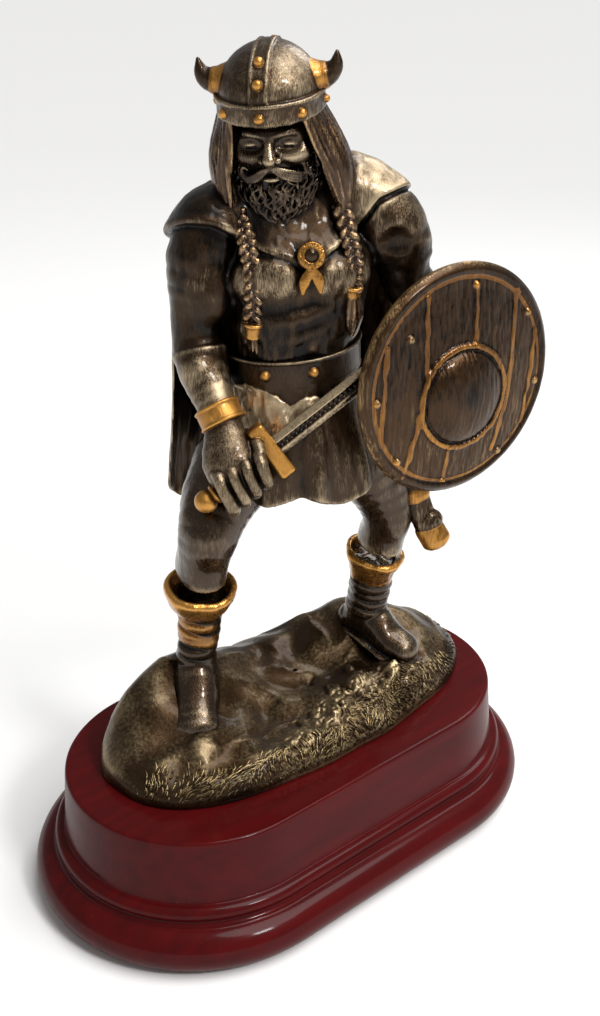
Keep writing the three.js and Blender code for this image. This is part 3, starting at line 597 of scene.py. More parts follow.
class FIGURINE_OT_stage(bpy.types.Operator):
    """Sets the camera, the pale floor and the soft lights"""
    bl_idname = "figurine.stage"
    bl_label = "Stage"

    def execute(self, context):
        settings = context.scene.figurine_stage
        back = Vector((np.sin(EYE_YAW) * np.cos(EYE_DIP), -np.cos(EYE_YAW) * np.cos(EYE_DIP), np.sin(EYE_DIP)))
        level = Vector((np.cos(EYE_YAW), np.sin(EYE_YAW), 0))
        right = level * np.cos(EYE_TILT) + back.cross(level) * np.sin(EYE_TILT)
        lens = bpy.data.cameras.new("camera")
        lens.lens, lens.sensor_width, lens.clip_start = settings.lens, SENSOR_WIDTH, 0.01
        camera = bpy.data.objects.new("camera", lens)
        turn = Matrix((right, back.cross(right), back)).transposed()
        camera.matrix_world = Matrix.Translation(EYE) @ turn.to_4x4()
        context.collection.objects.link(camera)
        context.scene.camera = camera
        floor = self.floor(context)
        for name, (at, size) in SOFT_BOXES.items():
            self.light(context, name, at, size, getattr(settings, name + "_power"))
        sun = bpy.data.lights.new("overhead", "SUN")
        sun.energy, sun.angle = settings.daylight, SUN_SPREAD
        overhead = bpy.data.objects.new("overhead", sun)
        overhead.rotation_euler = SUN_TURN
        context.collection.objects.link(overhead)
        world = bpy.data.worlds.new("surroundings")
        world.use_nodes = True
        background = world.node_tree.nodes["Background"]
        background.inputs["Color"].default_value = ROOM_COLOUR
        background.inputs["Strength"].default_value = settings.room_light
        context.scene.world = world
        context.scene.view_settings.view_transform = "Standard"
        return {"FINISHED"}

    def floor(self, context):
        mesh = bpy.data.meshes.new("floor")
        corners = [(x * FLOOR_REACH, y * FLOOR_REACH, 0) for x, y in ((-1, -1), (1, -1), (1, 1), (-1, 1))]
        mesh.from_pydata(corners, [], [(0, 1, 2, 3)])
        material, tree = new_material("floor_paper")
        shader = add(tree, "BsdfPrincipled", {"Base Color": PAPER_COLOUR, "Roughness": 0.9})
        add(tree, "OutputMaterial", {0: shader.outputs[0]})
        mesh.materials.append(material)
        floor = bpy.data.objects.new("floor", mesh)
        context.collection.objects.link(floor)
        return floor

    def light(self, context, name, at, size, power):
        data = bpy.data.lights.new(name, "AREA")
        data.shape, data.size, data.size_y, data.energy = "RECTANGLE", *size, power
        lamp = bpy.data.objects.new(name, data)
        lamp.location = at
        lamp.rotation_euler = (AIM - Vector(at)).to_track_quat("-Z", "Y").to_euler()
        context.collection.objects.link(lamp)


# Plinth

class FIGURINE_OT_plinth(bpy.types.Operator):
    """Models the turned and lacquered plinth"""
    bl_idname = "figurine.plinth"
    bl_label = "Plinth"

    def execute(self, context):
        low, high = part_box("plinth")
        length, width, height = ((high - low) / MM)[:]
        straight, outer = (length - width) / 2, width / 2
        points, faces = self.body(straight, self.profile(outer, height))
        piece("plinth_lacquered", points, faces, "lacquered_wood", lacquer(), replaces="plinth")
        return {"FINISHED"}

    def profile(self, outer, height):
        """Radius and height pairs up the side: foot roll, quirk, bead, cove, plain tapered side and top edge."""
        foot, bead, top = 6.4, 2.2, outer - 10.6
        line = [(0.0, 0.0), (outer * 0.5, 0.0), (outer - 4.2, 0.0)]
        line += [(outer - foot + foot * np.cos(a), foot + foot * np.sin(a)) for a in np.radians(np.arange(-68, 91, 8))]
        ledge = 2 * foot
        line += [(top + 4.9, ledge + 0.02), (top + 4.55, ledge + 0.12), (top + 4.4, ledge + 0.5)]
        line += [(top + 2.5 + bead * np.cos(a), ledge + 0.55 + bead * (1 + np.sin(a)))
                 for a in np.radians(np.arange(-60, 91, 12))]
        shoulder = ledge + 0.55 + 2 * bead
        line += [(top + 2.2, shoulder + 0.03), (top + 1.95, shoulder + 0.18), (top + 1.8, shoulder + 0.6)]
        line += [(top + 1.8 - 1.45 * t, shoulder + 0.6 + (height - 0.9 - shoulder - 0.6) * t)
                 for t in np.linspace(0.06, 1, 14)]
        line += [(top + 0.35 - 0.85 * (1 - np.cos(a)), height - 0.9 + 0.9 * np.sin(a))
                 for a in np.radians((25, 50, 70, 90))]
        line += [(top - 1.2, height), (top - 6, height), (top * 0.5, height), (0.0, height)]
        return np.array(line)

    def body(self, straight, profile, turns=72, runs=20):
        """The profile carried round a stadium."""
        angles = np.linspace(-np.pi / 2, np.pi / 2, turns)
        path = [(straight, a) for a in angles] + [(x, np.pi / 2) for x in np.linspace(straight, -straight, runs)[1:-1]]
        path += [(-straight, a + np.pi) for a in angles]
        path += [(x, -np.pi / 2) for x in np.linspace(-straight, straight, runs)[1:-1]]
        ring = profile[1:-1]
        points = [(x + r * np.cos(a), r * np.sin(a), z) for x, a in path for r, z in ring]
        n, m = len(path), len(ring)
        faces = [(i * m + j, (i + 1) % n * m + j, (i + 1) % n * m + j + 1, i * m + j + 1)
                 for i in range(n) for j in range(m - 1)]
        return points, faces + [[i * m for i in reversed(range(n))], [i * m + m - 1 for i in range(n)]]


# Ground

GROUND = {
    "centre": (3.5, 1.0), "half": (62.0, 28.5), "squareness": 2.5, "rim": 8.2, "gap": 0.3,
    # x, y, height and the two spreads of each rise of the rock
    "rises": (
        (-28, 14, 15, 19, 14), (33, 9, 11.5, 19, 14), (4, 17, 4.5, 22, 13), (-46, 13, 7, 12, 14), (-34, -6, 3, 8, 7),
        (16, -13, 2.6, 5, 4), (6, -17, 2.2, 4, 4), (29, -17, 3.2, 8, 6), (-12, -12, -2, 9, 7), (50, -2, 3, 9, 10),
    ),
    # x, y, height, radius of each loose stone
    "stones": (
        (26, -17.5, 1.9, 3.4), (21.5, -19, 1.0, 2.4), (7.5, -12, 1.7, 3.2), (9.5, -16, 1.2, 2.0), (16.5, -8, 1.5, 2.2),
        (-3, -15.8, 1.2, 2.4), (1.5, -19.5, 1.0, 2.2), (-38, -11, 0.7, 4.6), (33, -19, 0.8, 2.0), (14, -21, 1.0, 2.2),
    ),
}


def ground_edge(angle):
    (a, b), n = GROUND["half"], GROUND["squareness"]
    radius = (np.abs(np.cos(angle) / a) ** n + np.abs(np.sin(angle) / b) ** n) ** (-1 / n)
    return radius * (1 - 0.05 * peak(angle, -0.55, 0.45) + 0.008 * np.sin(9 * angle))


def rough_ground(x, y):
    """Where the ground is crumbled: a belt along the front edge."""
    belt = ramp(-y, 8 + 0.16 * (x - 10) ** 2 / 20, 15 + 0.16 * (x - 10) ** 2 / 20)
    return belt * ramp(x, -34, -14) * ramp(-x, -46, -38)


def ground_height(x, y):
    """The height of the ground above the plinth, in millimetres."""
    height = GROUND["rim"]
    for cx, cy, rise, sx, sy in GROUND["rises"]:
        height = height + rise * np.exp(-(((x - cx) / sx) ** 2) - ((y - cy) / sy) ** 2)
    height = height + 0.4 * np.sin(x * 0.45 + 1.3 * np.sin(y * 0.3)) + 0.35 * np.sin(y * 0.5 + 0.8 * np.sin(x * 0.3))
    spots = np.stack([x, y, np.zeros_like(x)], axis=-1)
    warp = np.stack([grain(spots, 9, 5), grain(spots, 9, 9), np.zeros_like(x)], axis=-1) * 3
    ledges = 1 - np.abs(grain(spots + warp, (13, 8, 9), 2))
    height = height + 0.55 * ledges**4 + 0.35 * grain(spots, 6, 3)
    crumbled = rough_ground(x, y)
    crumbs = 0.75 * np.abs(grain(spots, 2.6, 4)) + 0.55 * np.abs(grain(spots, 1.3, 6))
    height = height + crumbled * (crumbs - 0.35) * 1.1
    for cx, cy, rise, radius in GROUND["stones"]:
        away = np.hypot(x - cx, y - cy) * (1 + 0.25 * grain(spots, 2.2, 8))
        height = height + rise * ramp(-away, -radius, -radius * 0.45)
    # The smooth slab in front of his left foot ends in a raised lip, and a hollow lies behind it
    lip = (x - 26) * 0.94 + (y + 1) * 0.34
    height = height + peak(lip, 0, 0.9) * ramp(-y, 0, 3) * ramp(y, -20, -15)
    return height - 1.6 * np.exp(-(((x - 5) / 2.4) ** 2) - ((y + 3.5) / 1.8) ** 2)


def ground_spot(ring, angle):
    """The place on the ground at a share of the way to its edge."""
    x = GROUND["centre"][0] + ring * ground_edge(angle) * np.cos(angle)
    y = GROUND["centre"][1] + ring * ground_edge(angle) * np.sin(angle)
    shoulder = np.sqrt(np.maximum(0, 1 - ring**7)) * 0.86 + 0.14
    return np.stack([x, y, PLINTH_TOP + GROUND["gap"] + ground_height(x, y) * shoulder], axis=-1)


class FIGURINE_OT_ground(bpy.types.Operator):
    """Models the rocky ground under the warrior's feet"""
    bl_idname = "figurine.ground"
    bl_label = "Ground"

    def execute(self, context):
        rings = np.concatenate([np.linspace(0.012, 0.8, 88), np.linspace(0.8, 1.0, 34)[1:]])
        turns = 440
        angles = np.linspace(-np.pi, np.pi, turns, endpoint=False)
        ring, angle = np.meshgrid(rings, angles, indexing="ij")
        top = ground_spot(ring, angle)
        base = top[-1].copy()
        base[:, 2] = PLINTH_TOP + GROUND["gap"]
        side = [top[-1] + (base - top[-1]) * t for t in (0.33, 0.67, 1.0)]
        under = [base + (np.array([*GROUND["centre"], base[0, 2]]) - base) * t for t in (0.05, 0.6)]
        rows = np.concatenate([top, np.array(side), np.array(under)])
        points = rows.reshape(-1, 3)
        facing = normals(points, sheet_faces(len(rows), turns))
        flutes = grain(points, (1.6, 1.6, 4.0), 12) * ramp(1 - np.abs(facing[:, 2]), 0.25, 0.7)
        pits = grain(points, 0.9, 15) * (0.06 + 0.3 * rough_ground(points[:, 0], points[:, 1]))
        relief = 0.14 * flutes + 0.5 * pits
        on_top = np.arange(len(points)) < len(top) * turns
        points = points + facing * relief[:, None] * on_top[:, None]
        rough = rough_ground(points[:, 0], points[:, 1])
        shares = np.repeat(np.append(rings, [2] * len(side + under)), turns)
        # Painted shade on the ground under and between the grass blades along the front edge.
        grass_shade = ramp(shares, 0.9, 0.94) * np.tile(ramp(-np.sin(angles), -0.1, 0.2), len(rows))
        edge = 0.25 * ramp(shares, 0.985, 0.998) - 0.25 * (shares > 1)
        damp = 0.3 * ramp(grain(points, 9, 19), 0.05, 0.5) * (1 - rough)
        finish = pewter("ground_pewter", stroke=(0.9, 0.9, 0.9), tint=(1.0, 0.99, 0.88), contrast=0.38, mottle=0.22,
                        wash=0.5, gloss=0.15, roughness=0.4)
        piece("rocky_ground", points, closed_faces(len(rows), turns, turned=True), "antique_pewter", finish,
              bright=0.2 + 0.25 * rough - 0.45 * grass_shade * (1 - 0.6 * rough) - edge - damp)
        return {"FINISHED"}


# Bands of blades: between which angles, at which shares of the way to the edge, spacing in degrees, and length
GRASS = (
    (-172, -138, (0.99, 0.972, 0.95, 0.925, 0.9), 0.85, 3.6),
    (-138, -20, (0.99, 0.972, 0.95, 0.925), 1.4, 3.7),
    (-172, -20, (0.998,), 1.3, 2.4),
    (-165, -100, (0.895, 0.865), 1.7, 3.2),
    (-88, -26, (0.94, 0.92, 0.9, 0.88, 0.86, 0.84, 0.82, 0.8, 0.77), 1.1, 2.0),
    (-20, 32, (0.985, 0.96), 2.4, 2.6),
)


class FIGURINE_OT_grass(bpy.types.Operator):
    """Models the blades of grass round the foot of the rock"""
    bl_idname = "figurine.grass"
    bl_label = "Grass"

    def execute(self, context):
        rng = np.random.default_rng(11)
        blades = np.array([(np.radians(a), share, size) for low, high, shares, gap, size in GRASS
                           for share in shares for a in np.arange(low, high, gap)])
        angle = blades[:, 0] + rng.normal(0, 0.011, len(blades))
        ring = np.clip(blades[:, 1] + rng.normal(0, 0.006, len(blades)), 0.3, 0.999)
        kept = rng.random(len(blades)) < 0.86
        angle, ring, size = angle[kept], ring[kept], blades[kept, 2:]
        root = ground_spot(ring, angle)
        n = len(root)
        outward = np.stack([np.cos(angle), np.sin(angle), np.zeros(n)], axis=1)
        sideways = np.stack([-np.sin(angle), np.cos(angle), np.zeros(n)], axis=1)
        # Blades lie against the rock: they follow its slope up from the root, and only their tips curl away
        inner = ground_spot(ring - 0.025, angle) - root
        up = inner / np.linalg.norm(inner, axis=1, keepdims=True)
        clear = np.cross(sideways, up) * np.sign(np.cross(sideways, up)[:, 2:])
        wave = np.sin(9 * angle + 20 * ring) + 0.35 * np.sin(31 * angle)
        curl = wave[:, None] * 0.8 + rng.normal(0, 0.22, (n, 1))
        lean = sideways * curl + clear * rng.uniform(0.0, 0.3, (n, 1))
        length = size * rng.uniform(0.7, 1.15, (n, 1))
        width = (0.14 + 0.055 * size) * rng.uniform(0.85, 1.2, (n, 1))
        rows = []
        steps, sides = 6, 4
        for k in range(steps):
            t = k / (steps - 1)
            middle = root + up * length * (t - 0.25 * t * t) + lean * length * 0.8 * t * t
            broad, thick = sideways * width * (1 - t**1.8 * 0.9), clear * width * (1 - t**1.8 * 0.9)
            rows.append([middle + broad * np.cos(a) + thick * np.sin(a)
                         for a in np.arange(sides) * 2 * np.pi / sides])
        points = np.array(rows).transpose(2, 0, 1, 3).reshape(-1, 3)
        blade = np.array(closed_faces(steps, sides))
        faces = (blade[None] + (np.arange(n) * steps * sides)[:, None, None]).reshape(-1, 4)
        tips = np.tile(np.repeat(np.linspace(0.0, 1.3, steps), sides), n)
        finish = pewter("grass_pewter", stroke=(0.6, 0.6, 0.6), tint=(1.0, 0.97, 0.74), contrast=0.3, wash=0.3)
        piece("grass", points, faces, "antique_pewter", finish, bright=tips)
        return {"FINISHED"}


# Legs

def funnel(at, tilt, rim, foot, height, seed):
    """A cuff that opens upwards, with a rolled lip: its outer body, and the hollow in it."""
    place = aimed(at, tilt)

    def wavy(a, w):
        return 1 + 0.03 * np.sin(2 * a + seed) + 0.015 * np.sin(5 * a + seed)

    outer = spun([(-height, foot), (-0.75 * height, foot + 0.5), (-0.4 * height, rim - 1.1), (-0.2 * height, rim - 0.2),
                  (-0.9, rim + 0.1), (-0.3, rim), (0.2, rim - 0.4), (0.5, rim - 1.0)], place, wavy)
    inner = spun([(-0.32 * height, foot - 0.4), (-0.2 * height, rim - 2.4), (0, rim - 1.7), (2.5, rim - 1.5)],
                 place, wavy)
    return outer, inner


class FIGURINE_OT_legs(bpy.types.Operator):
    """Models the legs, boots, wraps and fleece cuffs"""
    bl_idname = "figurine.legs"
    bl_label = "Legs and boots"

    def execute(self, context):
        clay = Clay((-45, -24, 41), (45, 26, 126), 0.42)
        self.trousers(clay)
        self.boots(clay)
        self.cuffs(clay)
        self.wraps(clay)
        finish = pewter("leg_pewter", mottle=0.25, gloss=0.55, roughness=0.3)
        cast("legs_and_boots", clay, finish, self.chase, bright=self.bright)
        return {"FINISHED"}

    def trousers(self, clay):
        clay.press(limb([
            [-5, 7.5, 122, 12.5, 12], [-11, 6.5, 116, 12, 11.5], [-18.5, 4.8, 109.5, 10.2, 10],
            [-24.3, 2.6, 102, 8.0, 8.2], [-25.4, 4, 93, 6.8, 7.1], [-25.4, 5.6, 82, 6.2, 6.6],
            [-25.6, 6.8, 70, 5.2, 5.6], [-26.4, 7.6, 62, 4.8, 5.2],
        ]))
        clay.press(limb([
            [12, 0, 124, 12, 12], [19.5, -4, 116, 11.5, 11.5], [25.2, -8.4, 106, 9, 9.2], [28, -10, 96, 6.6, 7],
            [28.5, -8.4, 86, 6, 6.4], [28.4, -5, 75, 5.5, 6.0], [28.6, -2, 66, 5.2, 5.4], [30, -1, 60, 5, 5.4],
        ]))
        # Knees and calves
        for spot, radii in (((-26.2, -1.8, 101.6), (4.6, 4.2, 5.4)), ((-24.6, 8.6, 90), (4.4, 5.0, 8.5)),
                            ((28.2, -14.0, 95.5), (3.8, 3.0, 5.0)), ((28.8, -4.6, 84), (4.2, 4.4, 8))):
            clay.press(ball(spot, radii), 4)

    def boots(self, clay):
        for across, boot, sole in (
            ((0.77, -0.63, 0),
             [[-23.5, 11.5, 55.5, 5, 4.5], [-26.8, 7.2, 57.5, 6.2, 6.6], [-31, 2.2, 52, 6.6, 5.8],
              [-34.8, -2.8, 48.2, 6.0, 4.4]],
             [[-23.5, 11.5, 52.5], [-27.5, 6.5, 51.5], [-31.5, 1.6, 48], [-35, -3.2, 45.6]]),
            ((0.97, 0.24, 0),
             [[29, 4, 55.5, 4.8, 4.4], [30.2, -2, 57, 5.6, 6], [32, -8.5, 52.5, 5.7, 5], [33.8, -13.6, 50, 5.4, 4.3]],
             [[29, 4, 52.5], [30.4, -2, 51.5], [32.2, -8.5, 48.5], [34, -14, 46.6]]),
        ):
            clay.press(limb(boot, across), 2)
            clay.press(limb([[*p, wide, 1.6] for p, wide in zip(sole, (5.4, 6.2, 6.9, 6.3))], across), 0.5)

    def cuffs(self, clay):
        for outer, inner in (funnel((-25.9, 4.9, 85.3), (-0.06, -0.25, 1), 9.6, 5.5, 11.5, 3),
                             funnel((27.8, -6.3, 82.2), (0.01, -0.22, 1), 8.7, 6.3, 8.5, 5)):
            clay.press(outer, 0.4, gilt=True)
            clay.carve(inner, 0.3)

    def wraps(self, clay):
        """Bands wound round the shins, between the cuffs and the boots, thinly gilt at their upper ends."""
        rng = np.random.default_rng(2)
        for start, end, radius, gilded in (((-25.9, 6.0, 75), (-26.6, 7.4, 63), 5.9, 3),
                                           ((28.2, -5.0, 75), (29.4, -1.6, 62), 6.4, 1)):
            for k, t in enumerate(np.linspace(0, 1, 5)):
                middle = np.array(start) + (np.array(end) - np.array(start)) * t
                tilt = (rng.normal(0.05, 0.12), -0.2 + rng.normal(0, 0.12), 1)
                r = radius * (1 - 0.06 * t)
                wrap = spun([(-1.7, r - 1.2), (-1.3, r - 0.2), (-0.3, r + 0.1), (0.8, r), (1.5, r - 0.5),
                             (1.9, r - 1.2)], aimed(middle, tilt), lambda a, w: 1 + 0.03 * np.sin(2 * a + 9 * t))
                clay.press(wrap, 0.3, gilt=k < gilded)

    def chase(self, points):
        """Soft folds in the trousers, creases in the boots and tufts of fleece on the cuffs."""
        folds = grain(points, (4.0, 4.0, 10), 1) * 0.3 + grain(points, (1.8, 1.8, 6), 2) * 0.07
        fleece = band(points[:, 2], 72, 74, 84, 86) * (0.16 * grain(points, (1.3, 1.3, 1.8), 7))
        return folds + fleece

    def bright(self, points):
        """The boots are nearly black with a painted highlight on each toe, and the wraps catch the brush."""
        z = points[:, 2]
        # Painted highlight on each boot toe.
        toes = sum(peak(np.linalg.norm(points - toe, axis=1), 0, 3.4) for toe in ((-34.4, -3.0, 51), (33.4, -12, 54)))
        return 0.5 * toes - 0.1 * ramp(-z, -61, -57) - 0.35 * band(z, 61, 64, 75, 78) + 0.15 * band(z, 76, 79, 86, 88)


# Torso, arms and mantle

TORSO_PLACE = placed((*TORSO["middle"], 0), TORSO["yaw"])


def mantle_edge(left, back, z):
    """How far a point lies below the cut edge of the mantle, which runs up from the brooch over both shoulders."""
    edge = np.interp(left, [-40, -22, -16, -10, 1.5, 14, 20, 40], [181, 175.5, 172.6, 167.5, 162, 172.5, 180.2, 190])
    return (edge - 0.5 * back - z) * 0.8


class FIGURINE_OT_torso(bpy.types.Operator):
    """Models the chest, the arms and the mantle over the shoulders"""
    bl_idname = "figurine.torso"
    bl_label = "Torso and arms"

    def execute(self, context):
        low, high, step = (-37, -23, 117), (47, 24, 194), 0.42
        clay = Clay(low, high, step, TORSO_PLACE)
        self.trunk(clay)
        self.right_arm(clay)
        self.left_arm(clay)
        cloth = Clay(low, high, step)
        self.mantle(cloth)
        clay.field = np.minimum(clay.field, cloth.field)
        clay.bare = np.minimum(clay.bare, cloth.field)
        finish = pewter("torso_pewter", stroke=(0.24, 0.24, 2.4), contrast=1.4, gloss=0.22)
        cast("torso_and_arms", clay, finish, self.chase, bright=self.bright)
        return {"FINISHED"}

    def trunk(self, clay):
        def squared(a, z):
            return 1 - 0.07 * np.cos(4 * a) * (0.3 + 0.7 * ramp(z, 148, 162))

        clay.press(column([
            [0.2, 1.8, 122, 16, 12.5], [-0.2, 0.9, 130, 16.8, 13.0], [-0.6, -0.2, 141, 16.6, 12.4],
            [-0.2, -0.4, 151, 17.4, 12.9], [0.5, -0.5, 162, 19.6, 13.8], [0.7, 0, 171, 20.3, 13.3],
            [-0.2, 0.9, 179, 14, 10.8], [-1.7, 0, 187, 7.6, 7.6],
        ], squared))
        clay.press(ball((0, -8.6, 168), (7, 5.2, 10)), 2)
        for side in (-1, 1):
            turn = placed((0, 0, 0), side * 16, 12)
            clay.press(ball((side * 8.5, -9.9, 166.3), (9.2, 5.3, 7.2), turn), 0.9)
            clay.press(ball((side * 8.6, -8.6, 154.5), (6.6, 4.4, 5.4)), 2.5)
            clay.press(ball((side * 5.4, -9.6, 148.5), (5.4, 3.4, 4.6)), 2.5)
        # Folds of the tunic under the chest
        for fold in ([[-13, -9.8, 159], [-7, -13.4, 156.6], [0, -14.0, 157.6], [7, -13.0, 160.0], [13, -9.4, 161]],
                     [[-9, -11.4, 153], [-3, -13.6, 152.6], [4, -13.6, 154.4], [11, -10.9, 158]],
                     [[2, -13.6, 150.2], [8, -12.2, 153.0], [14, -8.0, 157]]):
            inward = np.array(fold) * [1, 0.93, 1]
            clay.press(strand(inward, [0.5, 1.0, 1.1, 0.9, 0.5][: len(fold)]), 3.0)

    def right_arm(self, clay):
        clay.press(limb(inside(TORSO_PLACE, [
            [-14.8, 10.4, 177, 7.6, 8.2], [-16.6, 11.4, 170.5, 8.8, 9.0], [-18.3, 12.2, 160, 6.6, 7.0],
            [-19.2, 11.6, 149.5, 6.1, 6.6],
        ])), 1.5)
        clay.press(limb(inside(TORSO_PLACE, [
            [-19.3, 10.6, 148.3, 6.4, 6.8], [-20.3, 7.0, 143, 6.2, 6.4], [-21.4, 1.8, 137.5, 5, 5],
            [-21.8, -2, 133, 4.4, 4],
        ])), 0.5)
        for muscle, radii, soft in (((-18.6, 5.8, 163), (4.6, 4.6, 7), 3), ((-17.0, 17.4, 163), (4.6, 4.4, 8), 3),
                                    ((-22.4, 7.6, 145), (3.6, 5.4, 4.6), 2.5)):
            clay.press(ball(inside(TORSO_PLACE, [muscle])[0], radii), soft)
        # The bracer on the forearm begins with a rim
        bracer = np.linalg.inv(TORSO_PLACE) @ aimed((-19.6, 9.6, 147.6), (0.1, 0.42, 0.9))
        clay.press(spun([(-4, 5.6), (-1, 6.9), (0, 7.15), (0.5, 7.0), (0.9, 6.3)], bracer), 0.5)

    def left_arm(self, clay):
        clay.press(limb(inside(TORSO_PLACE, [
            [24.4, -7.0, 180, 9.2, 9.4], [27.2, -9, 175, 9.7, 9.8], [30.0, -10.4, 168.5, 8.0, 8.2],
            [31, -10.8, 164.5, 6.8, 7.2], [35, -12.6, 155.5, 6.2, 6.4], [36, -17.5, 149, 5.8, 5.8],
            [34.6, -24.0, 143.5, 4.6, 4.6],
        ])), 1.5)
        clay.press(ball(inside(TORSO_PLACE, [[33.6, -25.4, 141.5]])[0], (5.0, 3.2, 5.0)), 1.0)
        # The short sleeve is pinched into a shallow pit
        clay.carve(ball((24.6, -8.2, 173.8), (2.6, 1.5, 2.4)), 3.5)

    def mantle(self, clay):
        clay.press(limb([
            [-22.5, 2.6, 174.5, 9.2, 9.4], [-16, 3, 179.4, 9.4, 9.6], [0, 2.5, 182.6, 10.5, 10.5],
            [15, 2.5, 184.3, 9.8, 9.8], [23.4, 1.2, 180.4, 9.0, 9.6],
        ], across=(0, 0, 1)))
        clay.press(limb(inside(TORSO_PLACE, [[-14.6, 9.8, 178, 9.2, 9.6], [-16.8, 10.6, 168, 10.0, 10.2]])), 3)
        clay.press(column([[0, 0, 150, 21, 15.2], [0, 0, 171, 21.2, 14.8], [0, 1, 179, 15, 11.8], [0, 1, 186, 9, 8]],
                          lambda a, z: 1 - 0.05 * np.cos(4 * a)), 3)

        def cut(field, x, y, z):
            """Cuts the cloth off along its edge, which is rolled."""
            below = mantle_edge(x, y, z)
            field = field - 0.3 * peak(below, -1.1, 0.9) * ramp(-x, -16, -8)
            return -soft_min(-field, -below, 0.6)

        clay.reshape(cut)

    def chase(self, points):
        """Strokes all over, tufts below the chest, creases in the short sleeve and a groove along the mantle."""
        x, y, z = points.T
        skin = ramp(np.abs(x), 17, 22)
        strokes = grain(points, (1.3, 1.3, 5.0), 3) * 0.16 + grain(points, (0.9, 0.9, 3.2), 6) * 0.08
        fur = band(z, 140, 146, 152, 162) * (1 - skin) * ramp(-y, 2, 8) * ramp(-x, -2, 6)
        tufts = np.abs(grain(points, (1.1, 1.4, 3.6), 9)) * 0.8
        groove = -0.7 * peak(mantle_edge(x, y, z), 0.3, 0.5) * ramp(x, 12, 15)
        sleeve = ramp(x, 18, 22) * ramp(-z, -177, -171) * ramp(z, 150, 156)
        folds = sleeve * (0.55 * grain(points, (7, 7, 3.4), 27) + 0.25 * grain(points, (3.5, 3.5, 2.2), 28))
        return strokes * (1 - 0.6 * skin) + folds + fur * tufts * 0.5 + 0.1 * grain(points, 4, 1) + groove

    def bright(self, points):
        """Painted light on his left side of the mantle and the top of his left shoulder, painted shade on his right
        side of the mantle, a painted highlight on top of the chest and painted shade on the upper chest under the
        beard; the bracer is brushed more.
        """
        x, y, z = points.T
        cloth = ramp(-mantle_edge(x, y, z), -1, 1)
        # Painted light: his left side of the mantle and the top of his left shoulder are lighter, his right side of the
        # mantle darker.
        lit = 0.42 * cloth * ramp(x, 6, 15) + 0.3 * ramp(x, 15, 20) * ramp(z, 173, 181) - 0.25 * cloth * ramp(-x, 2, 10)
        bare = 1 - cloth
        edge = 0.3 * peak(mantle_edge(x, y, z), -1.1, 0.9) * band(x, -26, -20, -14, -8)
        bracer = 0.35 * ramp(-x, 14, 18) * ramp(-z, -148.5, -146) * ramp(-y, -8, 2)
        # Painted highlight along the top of the chest, on a slightly darker body.
        chest = 0.22 * ramp(z, 161, 164) * ramp(-y, 8, 11) * bare - 0.1
        patches = 0.4 * ramp(grain(points, (5, 5, 10), 33), 0.05, 0.5) * ramp(-x, 15, 18) * bare
        right_arm = 0.3 * ramp(-x, 17, 20) * ramp(z, 150, 156) + 0.1 * ramp(-x, 15, 18) * bare * ramp(z, 150, 154)
        left_arm = 0.4 * ramp(x, 18, 21) * ramp(-z, -174, -169)
        belly = 0.35 * ramp(-z, -163, -159) * ramp(14 - np.abs(x), 0, 3)
        # Painted shade on the upper chest under the beard.
        collar = 0.35 * ramp(z, 169, 173) * ramp(-y, 6, 9) * bare
        return lit + edge + bracer + chest + patches - right_arm - left_arm - belly - collar


# Skirt and belt

